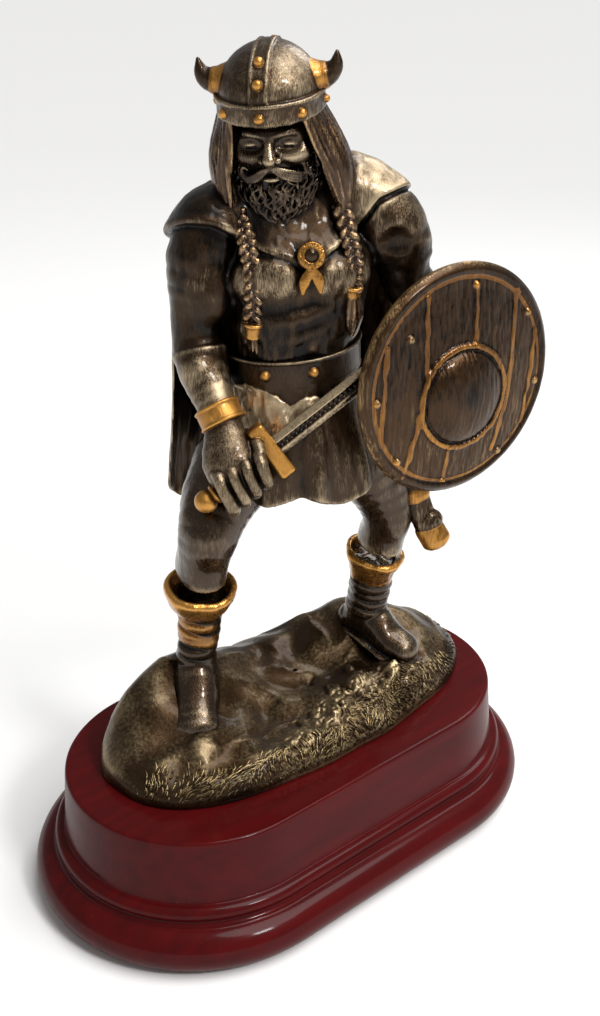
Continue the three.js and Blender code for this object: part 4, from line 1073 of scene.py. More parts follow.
class FIGURINE_OT_skirt(bpy.types.Operator):
    """Models the skirt of the tunic, the hide flap over it and the studded belt"""
    bl_idname = "figurine.skirt"
    bl_label = "Skirt and belt"

    def execute(self, context):
        clay = Clay((-28, -23, 104), (28, 23, 150), 0.4, TORSO_PLACE)
        self.cloth(clay)
        self.belt(clay)
        finish = pewter("skirt_pewter", stroke=(0.3, 0.3, 2.4), mottle=0.4, roughness=0.38)
        cast("skirt_and_belt", clay, finish, self.chase, bright=self.bright)
        return {"FINISHED"}

    def cloth(self, clay):
        def folds(a, z):
            low = 1 - ramp(z, 111, 143)
            return 1 + low * (0.05 * np.sin(8 * a - np.pi * 4 + 1.5 * np.sin(2 * a)) + 0.015 * np.sin(17 * a))

        clay.press(column([[0.5, 0, 104, 25, 19.2], [0.4, 0, 116, 23.4, 18.1], [0.2, 0, 127, 20.4, 16.2],
                           [0, 0, 139, 17.6, 14], [0, 0, 147, 16.6, 12.8]], folds))
        clay.carve(column([[0.5, 0, 100, 22.6, 16.8], [0.4, 0, 112, 20.6, 15.2], [0.3, 0, 118, 17, 12]], folds), 1.0)

        def hem(field, x, y, z):
            across = TORSO["middle"][0] + x * TORSO_PLACE[0, 0] + y * TORSO_PLACE[0, 1]
            wave = 1.5 * np.sin(0.28 * (across + 12)) * np.where(y < 0, 1, -1) * ramp(np.abs(y), 0, 5)
            return -soft_min(-field, z - 109.3 - wave, 1.2)

        clay.reshape(hem)

    def belt(self, clay):
        place = np.linalg.inv(TORSO_PLACE) @ placed(BELT["at"], TORSO["yaw"], BELT["tip"], BELT["roll"])
        across, deep, half = BELT["across"], BELT["deep"], BELT["height"] / 2
        clay.press(hoop(place, across, deep, half, 0.6), 0.2)
        for level, proud, thick in ((half - 0.2, 0.45, 0.38), (0.4 - half, 0.15, 0.4)):
            clay.press(hoop(place @ placed((0, 0, level)), across + proud, deep + proud, thick, 0.3), 0.2)
        for a in np.radians((-31, 8, 110, 150, 200, 245)):
            spot = moved(place, [[across * np.sin(a), -deep * np.cos(a), half * 0.15]])[0]
            clay.press(ball(spot, 1.3), 0.1, gilt=True)
        # Stitches that the top edge of the belt is notched by
        for a in np.radians(np.arange(-80, 100, 3.1)):
            spot = moved(place, [[(across + 0.75) * np.sin(a), -(deep + 0.75) * np.cos(a), half - 0.1]])[0]
            clay.carve(ball(spot, (0.3, 0.3, 0.5)), 0.2)

    def chase(self, points):
        free = 1 - ramp(points[:, 2], 139, 141)
        strokes = grain(points, (1.8, 1.8, 8.0), 3) * 0.22 + grain(points, (0.9, 0.9, 4.0), 6) * 0.07
        return strokes * free + self.hide(points) * (0.3 + 0.3 * grain(points, (1.0, 1.0, 1.8), 21))

    def hide(self, points):
        """Where the hide flap lies: the front of his right hip, from the belt down to the blade."""
        x, y, z = points.T
        ragged = 0.5 * grain(points, 1.4, 31)
        upper = np.interp(x, [-19, -14.4, -7.2, -4.2, -1.5, 1.8, 4.5], [138, 140.4, 137.6, 135.0, 136.8, 137.6, 136.4])
        lower = np.interp(x, [-19, -11.5, -7.6, 3], [129.0, 129.2, 126.2, 132])
        tall = ramp(upper + ragged - z, -0.3, 0.4) * ramp(z + ragged - lower, -0.3, 0.4)
        return tall * ramp(-y, 2, 5) * ramp(x + ragged, -19, -18) * ramp(ragged - x, -4.2, -3.2)

    def bright(self, points):
        """The hide flap is pale and grainy, and the belt is dark."""
        grains = 0.6 * ramp(grain(points, (0.9, 0.9, 1.3), 33), 0.2, 0.6)
        return 0.02 + (1.6 - grains) * self.hide(points) - 0.2 * ramp(points[:, 2], 139, 142)


# Cape

class FIGURINE_OT_cape(bpy.types.Operator):
    """Models the cape that hangs down his back"""
    bl_idname = "figurine.cape"
    bl_label = "Cape"

    def execute(self, context):
        clay = Clay((-38, -2, 92), (42, 34, 190), 0.52, TORSO_PLACE)
        clay.reshape(self.sheet)
        cast("cape", clay, pewter("cape_pewter", stroke=(0.6, 0.6, 6.0), mottle=0.3), self.chase)
        return {"FINISHED"}

    def sheet(self, field, x, y, z):
        """The cloth bows out from both edges, and its folds deepen towards the hem."""
        spread = 1.25
        t = np.clip((185 - z) / 87, 0, 1)
        for _ in range(3):
            over_arm = np.where(x > 0, 3.4 * np.sin(np.pi * np.minimum(1, 1.3 * t)), 0)
            half = 31.0 + over_arm - 4.5 * (1 - t) ** 6 - 0.6 * np.sin(np.pi * t) ** 2 + 2.4 * t**3
            angle = np.arcsin(np.clip(x / half, -1, 1) * np.sin(spread))
            top = 186 - 11 * np.sin(angle) ** 2 + 2.5 * np.sin(angle)
            hem = 98 + 2.2 * np.sin(3 * angle) + 1.5 * np.sin(angle) ** 2
            t = np.clip((top - z) / (top - hem), 0, 1)
        edge, middle = 6.5 + 10 * t, 9.5 + 16 * t**0.6
        bow = (np.cos(angle) - np.cos(spread)) / (1 - np.cos(spread))
        wave = np.cos(8.5 * angle + 1.2 * t + 0.6)
        folds = (0.3 + 1.6 * t) * (wave - 0.35 * (wave * wave - 0.5)) + 0.4 * t * np.cos(19 * angle + 3 * t)
        surface = edge + (middle - edge) * bow + folds
        slope = (middle - edge) * np.sin(angle) / (1 - np.cos(spread)) / (half * np.cos(angle) / np.sin(spread))
        sheet = np.abs(y - surface + 1.0) / np.sqrt(1 + slope**2) - 1.0
        rim = -soft_min(z - hem, half - np.abs(x), 6.0)
        return -soft_min(-sheet, -np.maximum(rim, z - top), 0.9)

    def chase(self, points):
        return grain(points, (2.2, 2.2, 9), 4) * 0.22 + grain(points, (1.2, 1.2, 5), 5) * 0.12


# Head

HEAD_PLACE = placed(**HEAD)
BEARD = np.array([
    [0, 0.4, -5.5, 10.2, 9.0], [0, -0.4, -10, 11.4, 9.4], [0, -1.4, -14.5, 11.0, 9.0], [0, -3.0, -18.5, 9.0, 7.6],
    [0, -5.0, -22, 6.0, 5.2], [0, -6.6, -24.4, 3.0, 3.0],
])


class FIGURINE_OT_head(bpy.types.Operator):
    """Models the face, the moustache and the curly beard"""
    bl_idname = "figurine.head"
    bl_label = "Head and beard"

    def execute(self, context):
        clay = Clay((-13.5, -19, -29), (13.5, 12, 1), 0.22, HEAD_PLACE)
        self.skull(clay)
        clay.press(column(BEARD), 0.6)
        self.eyes(clay)
        self.nose(clay)
        self.locks(clay)
        self.moustache(clay)
        finish = pewter("head_pewter", stroke=(0.3, 0.3, 1.2), mottle=0.3, wash=0.4, gloss=0.5, roughness=0.27)
        cast("head", clay, finish, bright=self.bright)
        return {"FINISHED"}

    def skull(self, clay):
        clay.press(ball((0, 1, -3), (10.2, 10.6, 12)))
        clay.press(column([[0, -1, -17, 5.8, 7.4], [0, -0.5, -14, 8.0, 9.2], [0, 0, -11, 9.4, 9.8],
                           [0, 0.2, -8, 10.3, 10.0], [0, 0.4, -5, 10.5, 10.0], [0, 0.8, -2, 10.4, 10.3],
                           [0, 1, 2, 10, 10.2]]), 2)
        brow = [[-7.6, -6.7, -2.6], [-4.2, -9.5, -2.2], [0, -9.9, -2.8], [4.2, -9.5, -2.2], [7.6, -6.7, -2.6]]
        clay.press(strand(brow, [0.7, 1.15, 0.9, 1.15, 0.7]), 1.4)
        for side in (-1, 1):
            clay.press(ball((side * 5.3, -6.7, -7.4), (4.3, 3.5, 3.0)), 3)

    def eyes(self, clay):
        """Calm eyes that look down, the upper lids low."""
        for side in (-1, 1):
            eye = np.array([side * 4.3, -7.2, -4.9])
            clay.carve(ball(eye + [0, -2.6, 0], (2.8, 1.6, 1.7)), 1.6)
            clay.press(ball(eye, (2.1, 1.8, 1.5)), 0.8)
            clay.carve(ball(eye + [0, -1.75, -0.65], (1.5, 0.8, 0.3)), 0.12)
            clay.press(ball(eye, (1.7, 1.5, 1.4)), 0.05)

    def nose(self, clay):
        clay.press(limb([[0, -9.4, -2.5, 1.0, 0.9], [0, -10.9, -5.2, 1.1, 1.2], [0, -12.3, -7.6, 1.6, 1.4]]), 0.8)
        for side in (-1, 1):
            clay.press(ball((side * 1.7, -10.9, -8.1), (1.1, 1.25, 0.95)), 0.5)
            clay.carve(ball((side * 0.9, -11.9, -9.0), (0.4, 0.5, 0.4)), 0.2)
        clay.press(ball((0, -10.8, -12.35), (2.2, 1.4, 0.85)), 0.3)
        clay.carve(ball((0, -11.7, -11.3), (2.4, 1.0, 0.3)), 0.3)

    def locks(self, clay):
        """Short curling locks, rooted all over the beard in rows that overlap downwards."""
        rng = np.random.default_rng(5)
        rows = through(BEARD, 8)
        for z, count in ((-7, 22), (-9, 28), (-10.8, 33), (-12.6, 35), (-14.4, 35), (-16.2, 32), (-18, 28), (-19.8, 23),
                         (-21.4, 17), (-22.8, 10)):
            for a in np.linspace(-2.0, 2.0, count) + rng.normal(0, 0.04, count):
                if z > -12.5 and abs(a) < 0.9 - 0.08 * (z + 12):
                    continue
                length = rng.uniform(3.0, 5.2)
                sway = 1.1 * np.sin(4.5 * a + 0.7 * z) + rng.normal(0, 0.4)
                start, points = z + rng.normal(0, 0.6), []
                if abs(a) < 0.3:
                    start = min(start, -13.5)
                size = rng.uniform(0.62, 0.95)
                for t in np.linspace(0, 1, 6):
                    level = start - length * t
                    mx, my, half, depth = (np.interp(-level, -rows[:, 2], rows[:, k]) for k in (0, 1, 3, 4))
                    turn = a * (1 - 0.1 * t) + sway * np.sin(4.4 * t) / max(half, 3)
                    out = 1 + (0.2 + 1.0 * np.sin(2.8 * t)) / max(half, 3)
                    points.append([mx + half * out * np.sin(turn), my - depth * out * np.cos(turn), level])
                clay.press(strand(points, np.multiply(size, [0.4, 0.52, 0.55, 0.5, 0.38, 0.16]), steps=2))

    def moustache(self, clay):
        """Strands that part under the nose; the end on his right curls up and back."""
        for f in np.linspace(0, 1, 4):
            r = 0.4 + 0.06 * np.sin(np.pi * f)
            left = [[0.3, -12.0, -9.2 - 0.7 * f], [2.4, -12.3, -9.6 - 1.7 * f], [4.6, -11.4, -10.5 - 2.1 * f],
                    [6.6, -10.0, -11.4 - 2.0 * f], [8.4 - 0.6 * f, -8.3, -11.8 - 1.4 * f]]
            right = [[-0.3, -12.0, -9.3 - 0.6 * f], [-2.0, -12.4, -9.9 - 1.3 * f], [-3.8, -11.8, -11.0 - 1.5 * f],
                     [-5.5 - 0.3 * f, -10.9, -11.7 - 1.2 * f], [-6.7 - 0.5 * f, -10.0, -10.8 - 0.5 * f],
                     [-6.2 - 0.4 * f, -10.4, -9.7 + 0.2 * f], [-5.3, -10.8, -10.1]]
            for points in (left, right):
                sizes = np.interp(np.linspace(0, 1, len(points)), [0, 0.4, 0.8, 1], [0.75, 1, 0.75, 0.4])
                clay.press(strand(points, sizes * r))

    def bright(self, points):
        """Painted highlights on his left cheek, the nose, the lower lip, the upper lids and his left half of the
        moustache, and painted shade in the eye slits; the tips of the beard catch the brush.
        """
        x, y, z = points.T
        face = ramp(z, -11.5, -9.5) * ramp(-y, 4, 7)
        # Painted highlights on his left cheek, the nose, his left half of the moustache, the lower lip and a line on
        # each upper lid, and painted shade in the eye slit below that line.
        cheek = peak(x, 5.2, 2.9) * peak(z, -6.9, 1.5)
        nose = peak(x, 0, 1.2) * band(z, -9.5, -8, -5, -3)
        whiskers = band(z, -13.6, -12.4, -9.6, -9) * ramp(-y, 9.4, 10.6) * (0.25 * ramp(x, -1, 2) - 0.05)
        lip = peak(x, 0, 2.0) * peak(z, -12.3, 0.7) * ramp(-y, 10, 11)
        lids = peak(np.abs(x), 4.3, 1.6) * (peak(z, -5.05, 0.28) - 1.6 * peak(z, -5.6, 0.25))
        curls = ramp(-z, 10.5, 12) * ramp(-y, 3, 6) * ramp(grain(points, (2.6, 2.6, 3.2), 41), 0.0, 0.35)
        skin = 0.1 * face + 0.8 * cheek + 0.35 * nose + 0.7 * lids + 0.8 * lip
        return skin + whiskers + 0.3 * curls - 0.3 * (1 - face)


# Hair and plaits

class FIGURINE_OT_hair(bpy.types.Operator):
    """Models the hair that falls from the helmet, the two plaits and their ties"""
    bl_idname = "figurine.hair"
    bl_label = "Hair and plaits"

    def execute(self, context):
        clay = Clay((-21, -22, 149), (22, 24, 207), 0.28)
        across = (0.72, -0.69, 0)
        # The mass under the strands: behind the head, along both cheeks, and over his left ear
        ear = moved(HEAD_PLACE, [[9.4, 4.5, -2], [10.8, 3.6, -8], [10.2, 2.4, -15], [8.6, 0.6, -20]])
        for soft, stations in (
            (0, [[-1.4, 3, 204, 10.2, 11.2], [-0.6, 4.4, 196, 11.6, 11.0], [0.8, 5.6, 188, 12.2, 10.6],
                 [2.2, 6, 181, 11.0, 9.0]]),
            (1, [[-9.6, 9.4, 203, 2.4, 2.4], [-11.2, 9, 195, 3.3, 3.6], [-11.6, 7, 188, 3.3, 3.8],
                 [-12, 3.4, 181.5, 2.0, 2.2]]),
            (1, [[7.4, -5.5, 203.5, 2.2, 2.2], [10.6, -6.4, 196, 3.4, 3.3], [11.8, -8.2, 189, 3.4, 3.2],
                 [8.8, -11.4, 183, 2.1, 2.0]]),
            (1, [[*at, 3.0, 3.0] for at in ear]),
        ):
            clay.press(limb(stations, across), soft)
        # It stays behind the face
        clay.carve(slab(HEAD_PLACE @ placed((0, -13, -12)), (8.6, 11, 24), 1.5))
        self.strands(clay)
        self.plait(clay, [[-12, 2.8, 182], [-12.4, -1.4, 175.5], [-12.9, -4, 167], [-13, -3.6, 157.5]], 12)
        self.plait(clay, [[8.4, -11.4, 183.5], [8.8, -14, 176], [9.1, -15.6, 170], [9, -15.5, 165]], 9)
        for a in np.linspace(0, 2 * np.pi, 9, endpoint=False):
            out = np.array([np.cos(a), np.sin(a), 0])
            clay.press(strand([[9.1, -15.3, 162] + 1.2 * out, [9.5, -14.8, 157] + 1.9 * out,
                               [9.8, -13.8, 151.8] + 1.1 * out], [0.8, 0.85, 0.3]), 0.15)
        for dx, dy, low in ((-0.8, -0.6, 150.2), (0.1, -0.9, 149.4), (0.9, -0.3, 150.6)):
            clay.press(strand([[-13 + 0.5 * dx, -3.8 + 0.5 * dy, 154], [-13 + dx, -4 + dy, low]], [0.7, 0.25]), 0.1)
        for at in ((-13, -3.7, 155), (9, -15.4, 162.6)):
            cup = spun([(-2, 1.7), (-1.6, 1.85), (-1.2, 1.75), (0.9, 2.15), (1.3, 2.45), (2, 2.5)],
                       aimed(at, (0, -0.1, 1)))
            clay.press(cup, 0.2, gilt=True)
        cast("hair_and_plaits", clay, pewter("hair_pewter", stroke=(0.3, 0.3, 3.0), tint=(1.2, 1.0, 0.8),
                                             contrast=1.25, mottle=0.4, wash=0.45, gloss=0.5, roughness=0.29))
        return {"FINISHED"}

    def strands(self, clay):
        """Strands from under the helmet, gathered into the plaits in front and loose behind."""
        rng = np.random.default_rng(3)
        ends = {-1: np.array([-12.2, 2.8, 181]), 1: np.array([8.4, -11.0, 182])}
        for a in np.radians(np.arange(44, 317, 1.9)):
            a = a + rng.normal(0, 0.01)
            start = moved(HEAD_PLACE, [[12.0 * np.sin(a), -13.0 * np.cos(a), 0.4]])[0]
            outward = HEAD_PLACE[:3, :3] @ [np.sin(a), -np.cos(a), 0]
            side = 1 if a < np.pi else -1
            from_front = min(a, 2 * np.pi - a)
            if from_front < 2.1:
                end = ends[side] + outward * rng.uniform(0.2, 1.8)
                swell = 2.6 * ramp(from_front, 0.7, 1.5) + 0.6
            else:
                end = np.array([2.2, 6, 0]) + outward * 11.5 + [0, 0, 179.5 + rng.normal(0, 1.2)]
                swell = 1.2
            wave = np.cross(outward, (0, 0, 1)) * rng.choice((-1, 1)) * 0.5
            points = [start]
            for t in (0.28, 0.55, 0.8, 1.0):
                points.append(start + (end - start) * t + outward * swell * np.sin(np.pi * t) + wave * np.sin(7 * t))
            r = rng.uniform(0.4, 0.62)
            clay.press(strand(points, [r, r, r * 1.1, r, r * 0.5]))

    def plait(self, clay, path, crossings):
        """Three strands over and under each other."""
        path = through(path, 10)
        along = np.gradient(path, axis=0)
        along /= np.linalg.norm(along, axis=1)[:, None]
        facing = np.radians(-32)
        front = np.array([np.sin(facing), -np.cos(facing), 0.0])
        wide = np.cross(along, front)
        wide /= np.linalg.norm(wide, axis=1)[:, None]
        deep = np.cross(wide, along)
        t = np.linspace(0, 1, len(path))
        for phase in range(3):
            turn = (t * crossings / 2 * 2 / 3 + phase / 3) * 2 * np.pi
            points = path + wide * (1.6 * np.sin(turn))[:, None] + deep * (0.75 * np.sin(2 * turn))[:, None]
            clay.press(strand(points, np.linspace(1.02, 0.92, len(points)), steps=1), 0.05)


# Helmet

TRIM_TURN = np.radians(-5)


class FIGURINE_OT_helmet(bpy.types.Operator):
    """Models the horned helmet with its studded band and ridge"""
    bl_idname = "figurine.helmet"
    bl_label = "Helmet"

    def execute(self, context):
        clay = Clay((-19, -16, -2.5), (19, 16, 18), 0.26, HEAD_PLACE)
        clay.press(ball((0, 0, 4.4), (12.0, 12.9, 11.3)))
        clay.press((np.array([-4, -15, -1]), np.array([4, 15, 18]), self.ridge), 0.5)
        clay.reshape(lambda field, x, y, z: -soft_min(-field, z - 0.4, 0.3))
        clay.press(hoop(placed((0, 0, 2.7)), 12.8, 13.8, 2.4, 0.6), 0.2)
        clay.press(hoop(placed((0, 0, 4.9)), 13.15, 14.15, 0.45, 0.4), 0.3)
        studs = [(12.8 * np.sin(a), -13.8 * np.cos(a), 2.5) for a in TRIM_TURN + np.radians(np.arange(0, 360, 45))]
        studs += [(13.4 * np.sin(TRIM_TURN) * np.cos(a), -13.4 * np.cos(a), 4 + 12.2 * np.sin(a))
                  for a in np.radians((26, 50, 130, 154))]
        for spot in studs:
            clay.press(ball(spot, 1.15), 0.05, gilt=True)
        for side in (-1, 1):
            self.horn(clay, side)
        finish = pewter("helmet_pewter", stroke=(0.25, 0.25, 2.2), roughness=0.33)
        cast("helmet", clay, finish, self.chase, bright=self.bright)
        return {"FINISHED"}

    def ridge(self, x, y, z):
        """A strap over the crown from front to back, with an edge line along both sides."""
        across = np.abs(x * np.cos(TRIM_TURN) + y * np.sin(TRIM_TURN))
        edge = 0.25 * peak(across, 1.75, 0.35)
        return np.maximum(ellipsoid([y, z - 4], [13.15, 11.9]) - edge, across - 2.2)

    def horn(self, clay, side):
        # How far each station lies out and up from the seat, and its share of the thickness
        bend = ((-2.5, -0.3, 1), (1.8, 0.2, 0.93), (4.2, 2, 0.62), (4.8, 5.2, 0.16))
        clay.press(limb([[side * (11.2 + o), 0, 7.2 + u, 2.9 * part, 2.9 * part] for o, u, part in bend],
                        across=(0, 1, 0), steps=5), 0.2)
        seat = aimed((side * 11.2, 0, 7.2), (side, 0, 0.15))
        clay.press(spun([(-1.6, 4.2), (-0.8, 4.2), (0.2, 3.7), (1.2, 3.2), (2.2, 2.95), (2.5, 2.6)], seat), 0.4,
                   gilt=True)

    def chase(self, points):
        """Fine dents over the dome."""
        strap = ramp(-points[:, 2], -5.2, -4.6)
        return 0.06 * grain(points, 1.1, 4) + 0.1 * grain(points, 4, 6) + 0.14 * strap * grain(points, 1.6, 9)

    def bright(self, points):
        """A painted highlight on the front of his left side of the dome, and the horns stay dark."""
        x, y, z = points.T
        dome = ramp(z, 5, 7) * ramp(-np.abs(x), -11, -10)
        horns = ramp(np.abs(x), 12.6, 13.2) * ramp(z, 4, 6)
        # Painted highlight on the front of his left side of the dome.
        return (0.12 + 0.3 * ramp(x, -4, 4) * ramp(-y, -4, 3)) * dome + 0.15 * (1 - dome) * (1 - horns) - 0.35 * horns


# Right hand and sword

GRIP = unit(np.subtract(SWORD["tip"], SWORD["pommel"]))
FLAT = unit(np.cross((0.45, 0.55, 0), GRIP))


class FIGURINE_OT_hand(bpy.types.Operator):
    """Models the right fist on the hilt, the bracelet, the guard and the pommel"""
    bl_idname = "figurine.hand"
    bl_label = "Sword hand"

    def execute(self, context):
        clay = Clay((-37, -23, 107), (-4, 7, 144), 0.26)
        self.fist(clay)
        self.hilt(clay)
        self.bracelet(clay)
        cast("sword_hand", clay, pewter("hand_pewter", stroke=(0.3, 0.3, 1.6), mottle=0.38),
             bright=lambda points: 0.25 * ramp(-points[:, 1], 0, 4))
        return {"FINISHED"}

    def fist(self, clay):
        out = unit((-0.5, -0.78, 0.38))
        down = unit(np.cross(GRIP, out))
        centre = np.array(SWORD["pommel"]) + 11.3 * GRIP

        def spot(along, outward, below):
            return [*(centre + GRIP * along + out * outward + down * below)]

        clay.press(limb([[-21.7, -0.3, 135.2, 4.3, 4.0], [-22, -2.8, 131.6, 4.8, 4.2],
                         [*spot(-0.6, 2.0, -4.4), 6.9, 5.0], [*spot(-0.4, 1.2, 0.5), 6.9, 4.6]], across=GRIP))
        for g, start in ((-5.3, -3.6), (-1.8, -3.0), (1.7, -2.0), (5.2, -0.9)):
            clay.press(limb([[*spot(g + 0.3, 3.2, start - 1.6), 1.6, 1.4], [*spot(g, 5.4, start + 0.8), 1.75, 1.9],
                             [*spot(g - 1.0, 5.7, start + 3.4), 1.6, 1.7], [*spot(g - 1.8, 3.6, 5.2), 1.7, 1.8],
                             [*spot(g - 2.2, 0.4, 5.8), 1.6, 1.6]], across=GRIP), 0.15)
        clay.press(strand([spot(6.4, 0.5, -4.6), spot(7.0, 3.2, -3.4), spot(6.4, 4.8, -1.6)], [2.1, 1.9, 1.5]), 0.4)

    def hilt(self, clay):
        start = np.array(SWORD["pommel"])
        clay.press(ball(start, 3.0), 0.1, gilt=True)
        clay.press(strand([start + GRIP, start + GRIP * 20], 2.0), 0.1, gilt=True)
        clay.press(spun([(-0.5, 2.5), (0, 2.7), (0.5, 2.5)], aimed(start + GRIP * 2.9, GRIP)), 0.1, gilt=True)
        frame_of_guard = np.eye(4)
        frame_of_guard[:3, :3] = np.stack([FLAT, np.cross(GRIP, FLAT), GRIP], axis=1)
        frame_of_guard[:3, 3] = start + GRIP * SWORD["guard_at"]
        clay.press(slab(frame_of_guard, (7.6, 2.3, 2.2), 0.9), 0.1, gilt=True)

    def bracelet(self, clay):
        r, h = BRACELET["radius"] + 0.1, BRACELET["height"] / 2 + 0.4
        along = unit(BRACELET["along"])
        place = aimed(BRACELET["at"] - 0.9 * along, along)
        clay.press(spun([(-h, r - 0.2), (-h + 0.5, r + 0.25), (-h + 1.0, r - 0.15), (h - 1.0, r - 0.15),
                         (h - 0.5, r + 0.25), (h, r - 0.2)], place), 0.1, gilt=True)
        badge = aimed((-25.2, -4.7, 136.2), (-0.55, -0.8, 0.5))
        clay.press(spun([(-1.6, 1.7), (-0.2, 1.7), (0.15, 1.3), (0.0, 0.9), (0.1, 0.2)], badge), 0.2, gilt=True)


class FIGURINE_OT_blade(bpy.types.Operator):
    """Models the drawn blade, with bevelled edges and a pitted fuller"""
    bl_idname = "figurine.blade"
    bl_label = "Blade"

    def execute(self, context):
        wide, thick = 2.7, 1.15
        side = np.array([-1, -0.97, -0.75, -0.5, -0.38, -0.3, -0.15, 0, 0.15, 0.3, 0.38, 0.5, 0.75, 0.97])
        depth = np.interp(np.abs(side), [0, 0.15, 0.3, 0.38, 0.5, 0.97, 1.0], [0.6, 0.62, 0.8, 1.0, 0.95, 0.12, 0.0])
        across = np.concatenate([side, -side])
        height = np.concatenate([depth, -depth])
        length = np.linalg.norm(np.subtract(SWORD["tip"], SWORD["pommel"]))
        deep = np.cross(GRIP, FLAT)
        rows = []
        for d in np.linspace(SWORD["guard_at"] - 1, length, 260):
            middle = np.array(SWORD["pommel"]) + GRIP * d
            pit = 0.25 * ramp(np.cos(2 * np.pi * d / 1.5), 0.1, 0.8) * (np.abs(across) < 0.2)
            level = height * thick - np.sign(height) * pit
            rows.append(middle + FLAT * (across * wide)[:, None] + deep * level[:, None])
        rows = np.array(rows)
        # Painted light on the upper edge of the blade and painted shade on the lower edge, with a darker fuller.
        silver = np.tile(0.2 + 0.35 * across * np.sign(FLAT[2]) - 0.35 * (np.abs(across) < 0.33), len(rows))
        piece("sword_blade", rows.reshape(-1, 3), closed_faces(*rows.shape[:2]), "antique_pewter",
              pewter("blade_pewter", stroke=(0.8, 0.8, 0.8), mottle=0.6, roughness=0.28), bright=silver)
        return {"FINISHED"}


# Shield

BATTENS = (
    ((-11, 23.2), (-11.6, 10.4), (-12.2, -2.4), (-14.5, -13), (-17.2, -23)),
    ((4.4, 24.5), (4, 16.9), (3.9, 9.3)), ((17.6, 21.1), (16.5, 1.2), (14.8, -10.5), (11.8, -21)),
    ((-23, 12.3), (-24.1, -0.3), (-24.2, -12.7)), ((25.5, 9.7), (24.1, -1.3), (22.4, -15.2)),
    ((-3.5, -17.5), (-4, -26.5)),
)
RIVETS = (
    (4, 24.6), (-16.4, 13.7), (-25.9, -1.3), (-19.4, -18.3), (-4.5, -27.0), (14.5, -22.2), (26.3, -4.5), (22, 14.9),
)
RING = {"at": (0.4, -4.0), "radius": 13.6, "half": 0.75}
BOSS_RADIUS, RIVET_RADIUS, RIM_START = 12.2, 1.15, 27.3


def off_line(x, z, line):
    """Distance from a broken line."""
    nearest = np.full(np.shape(x), FAR * 10)
    for (ax, az), (bx, bz) in zip(line, line[1:]):
        t = np.clip(((x - ax) * (bx - ax) + (z - az) * (bz - az)) / ((bx - ax) ** 2 + (bz - az) ** 2), 0, 1)
        nearest = np.minimum(nearest, np.hypot(x - ax - t * (bx - ax), z - az - t * (bz - az)))
    return nearest


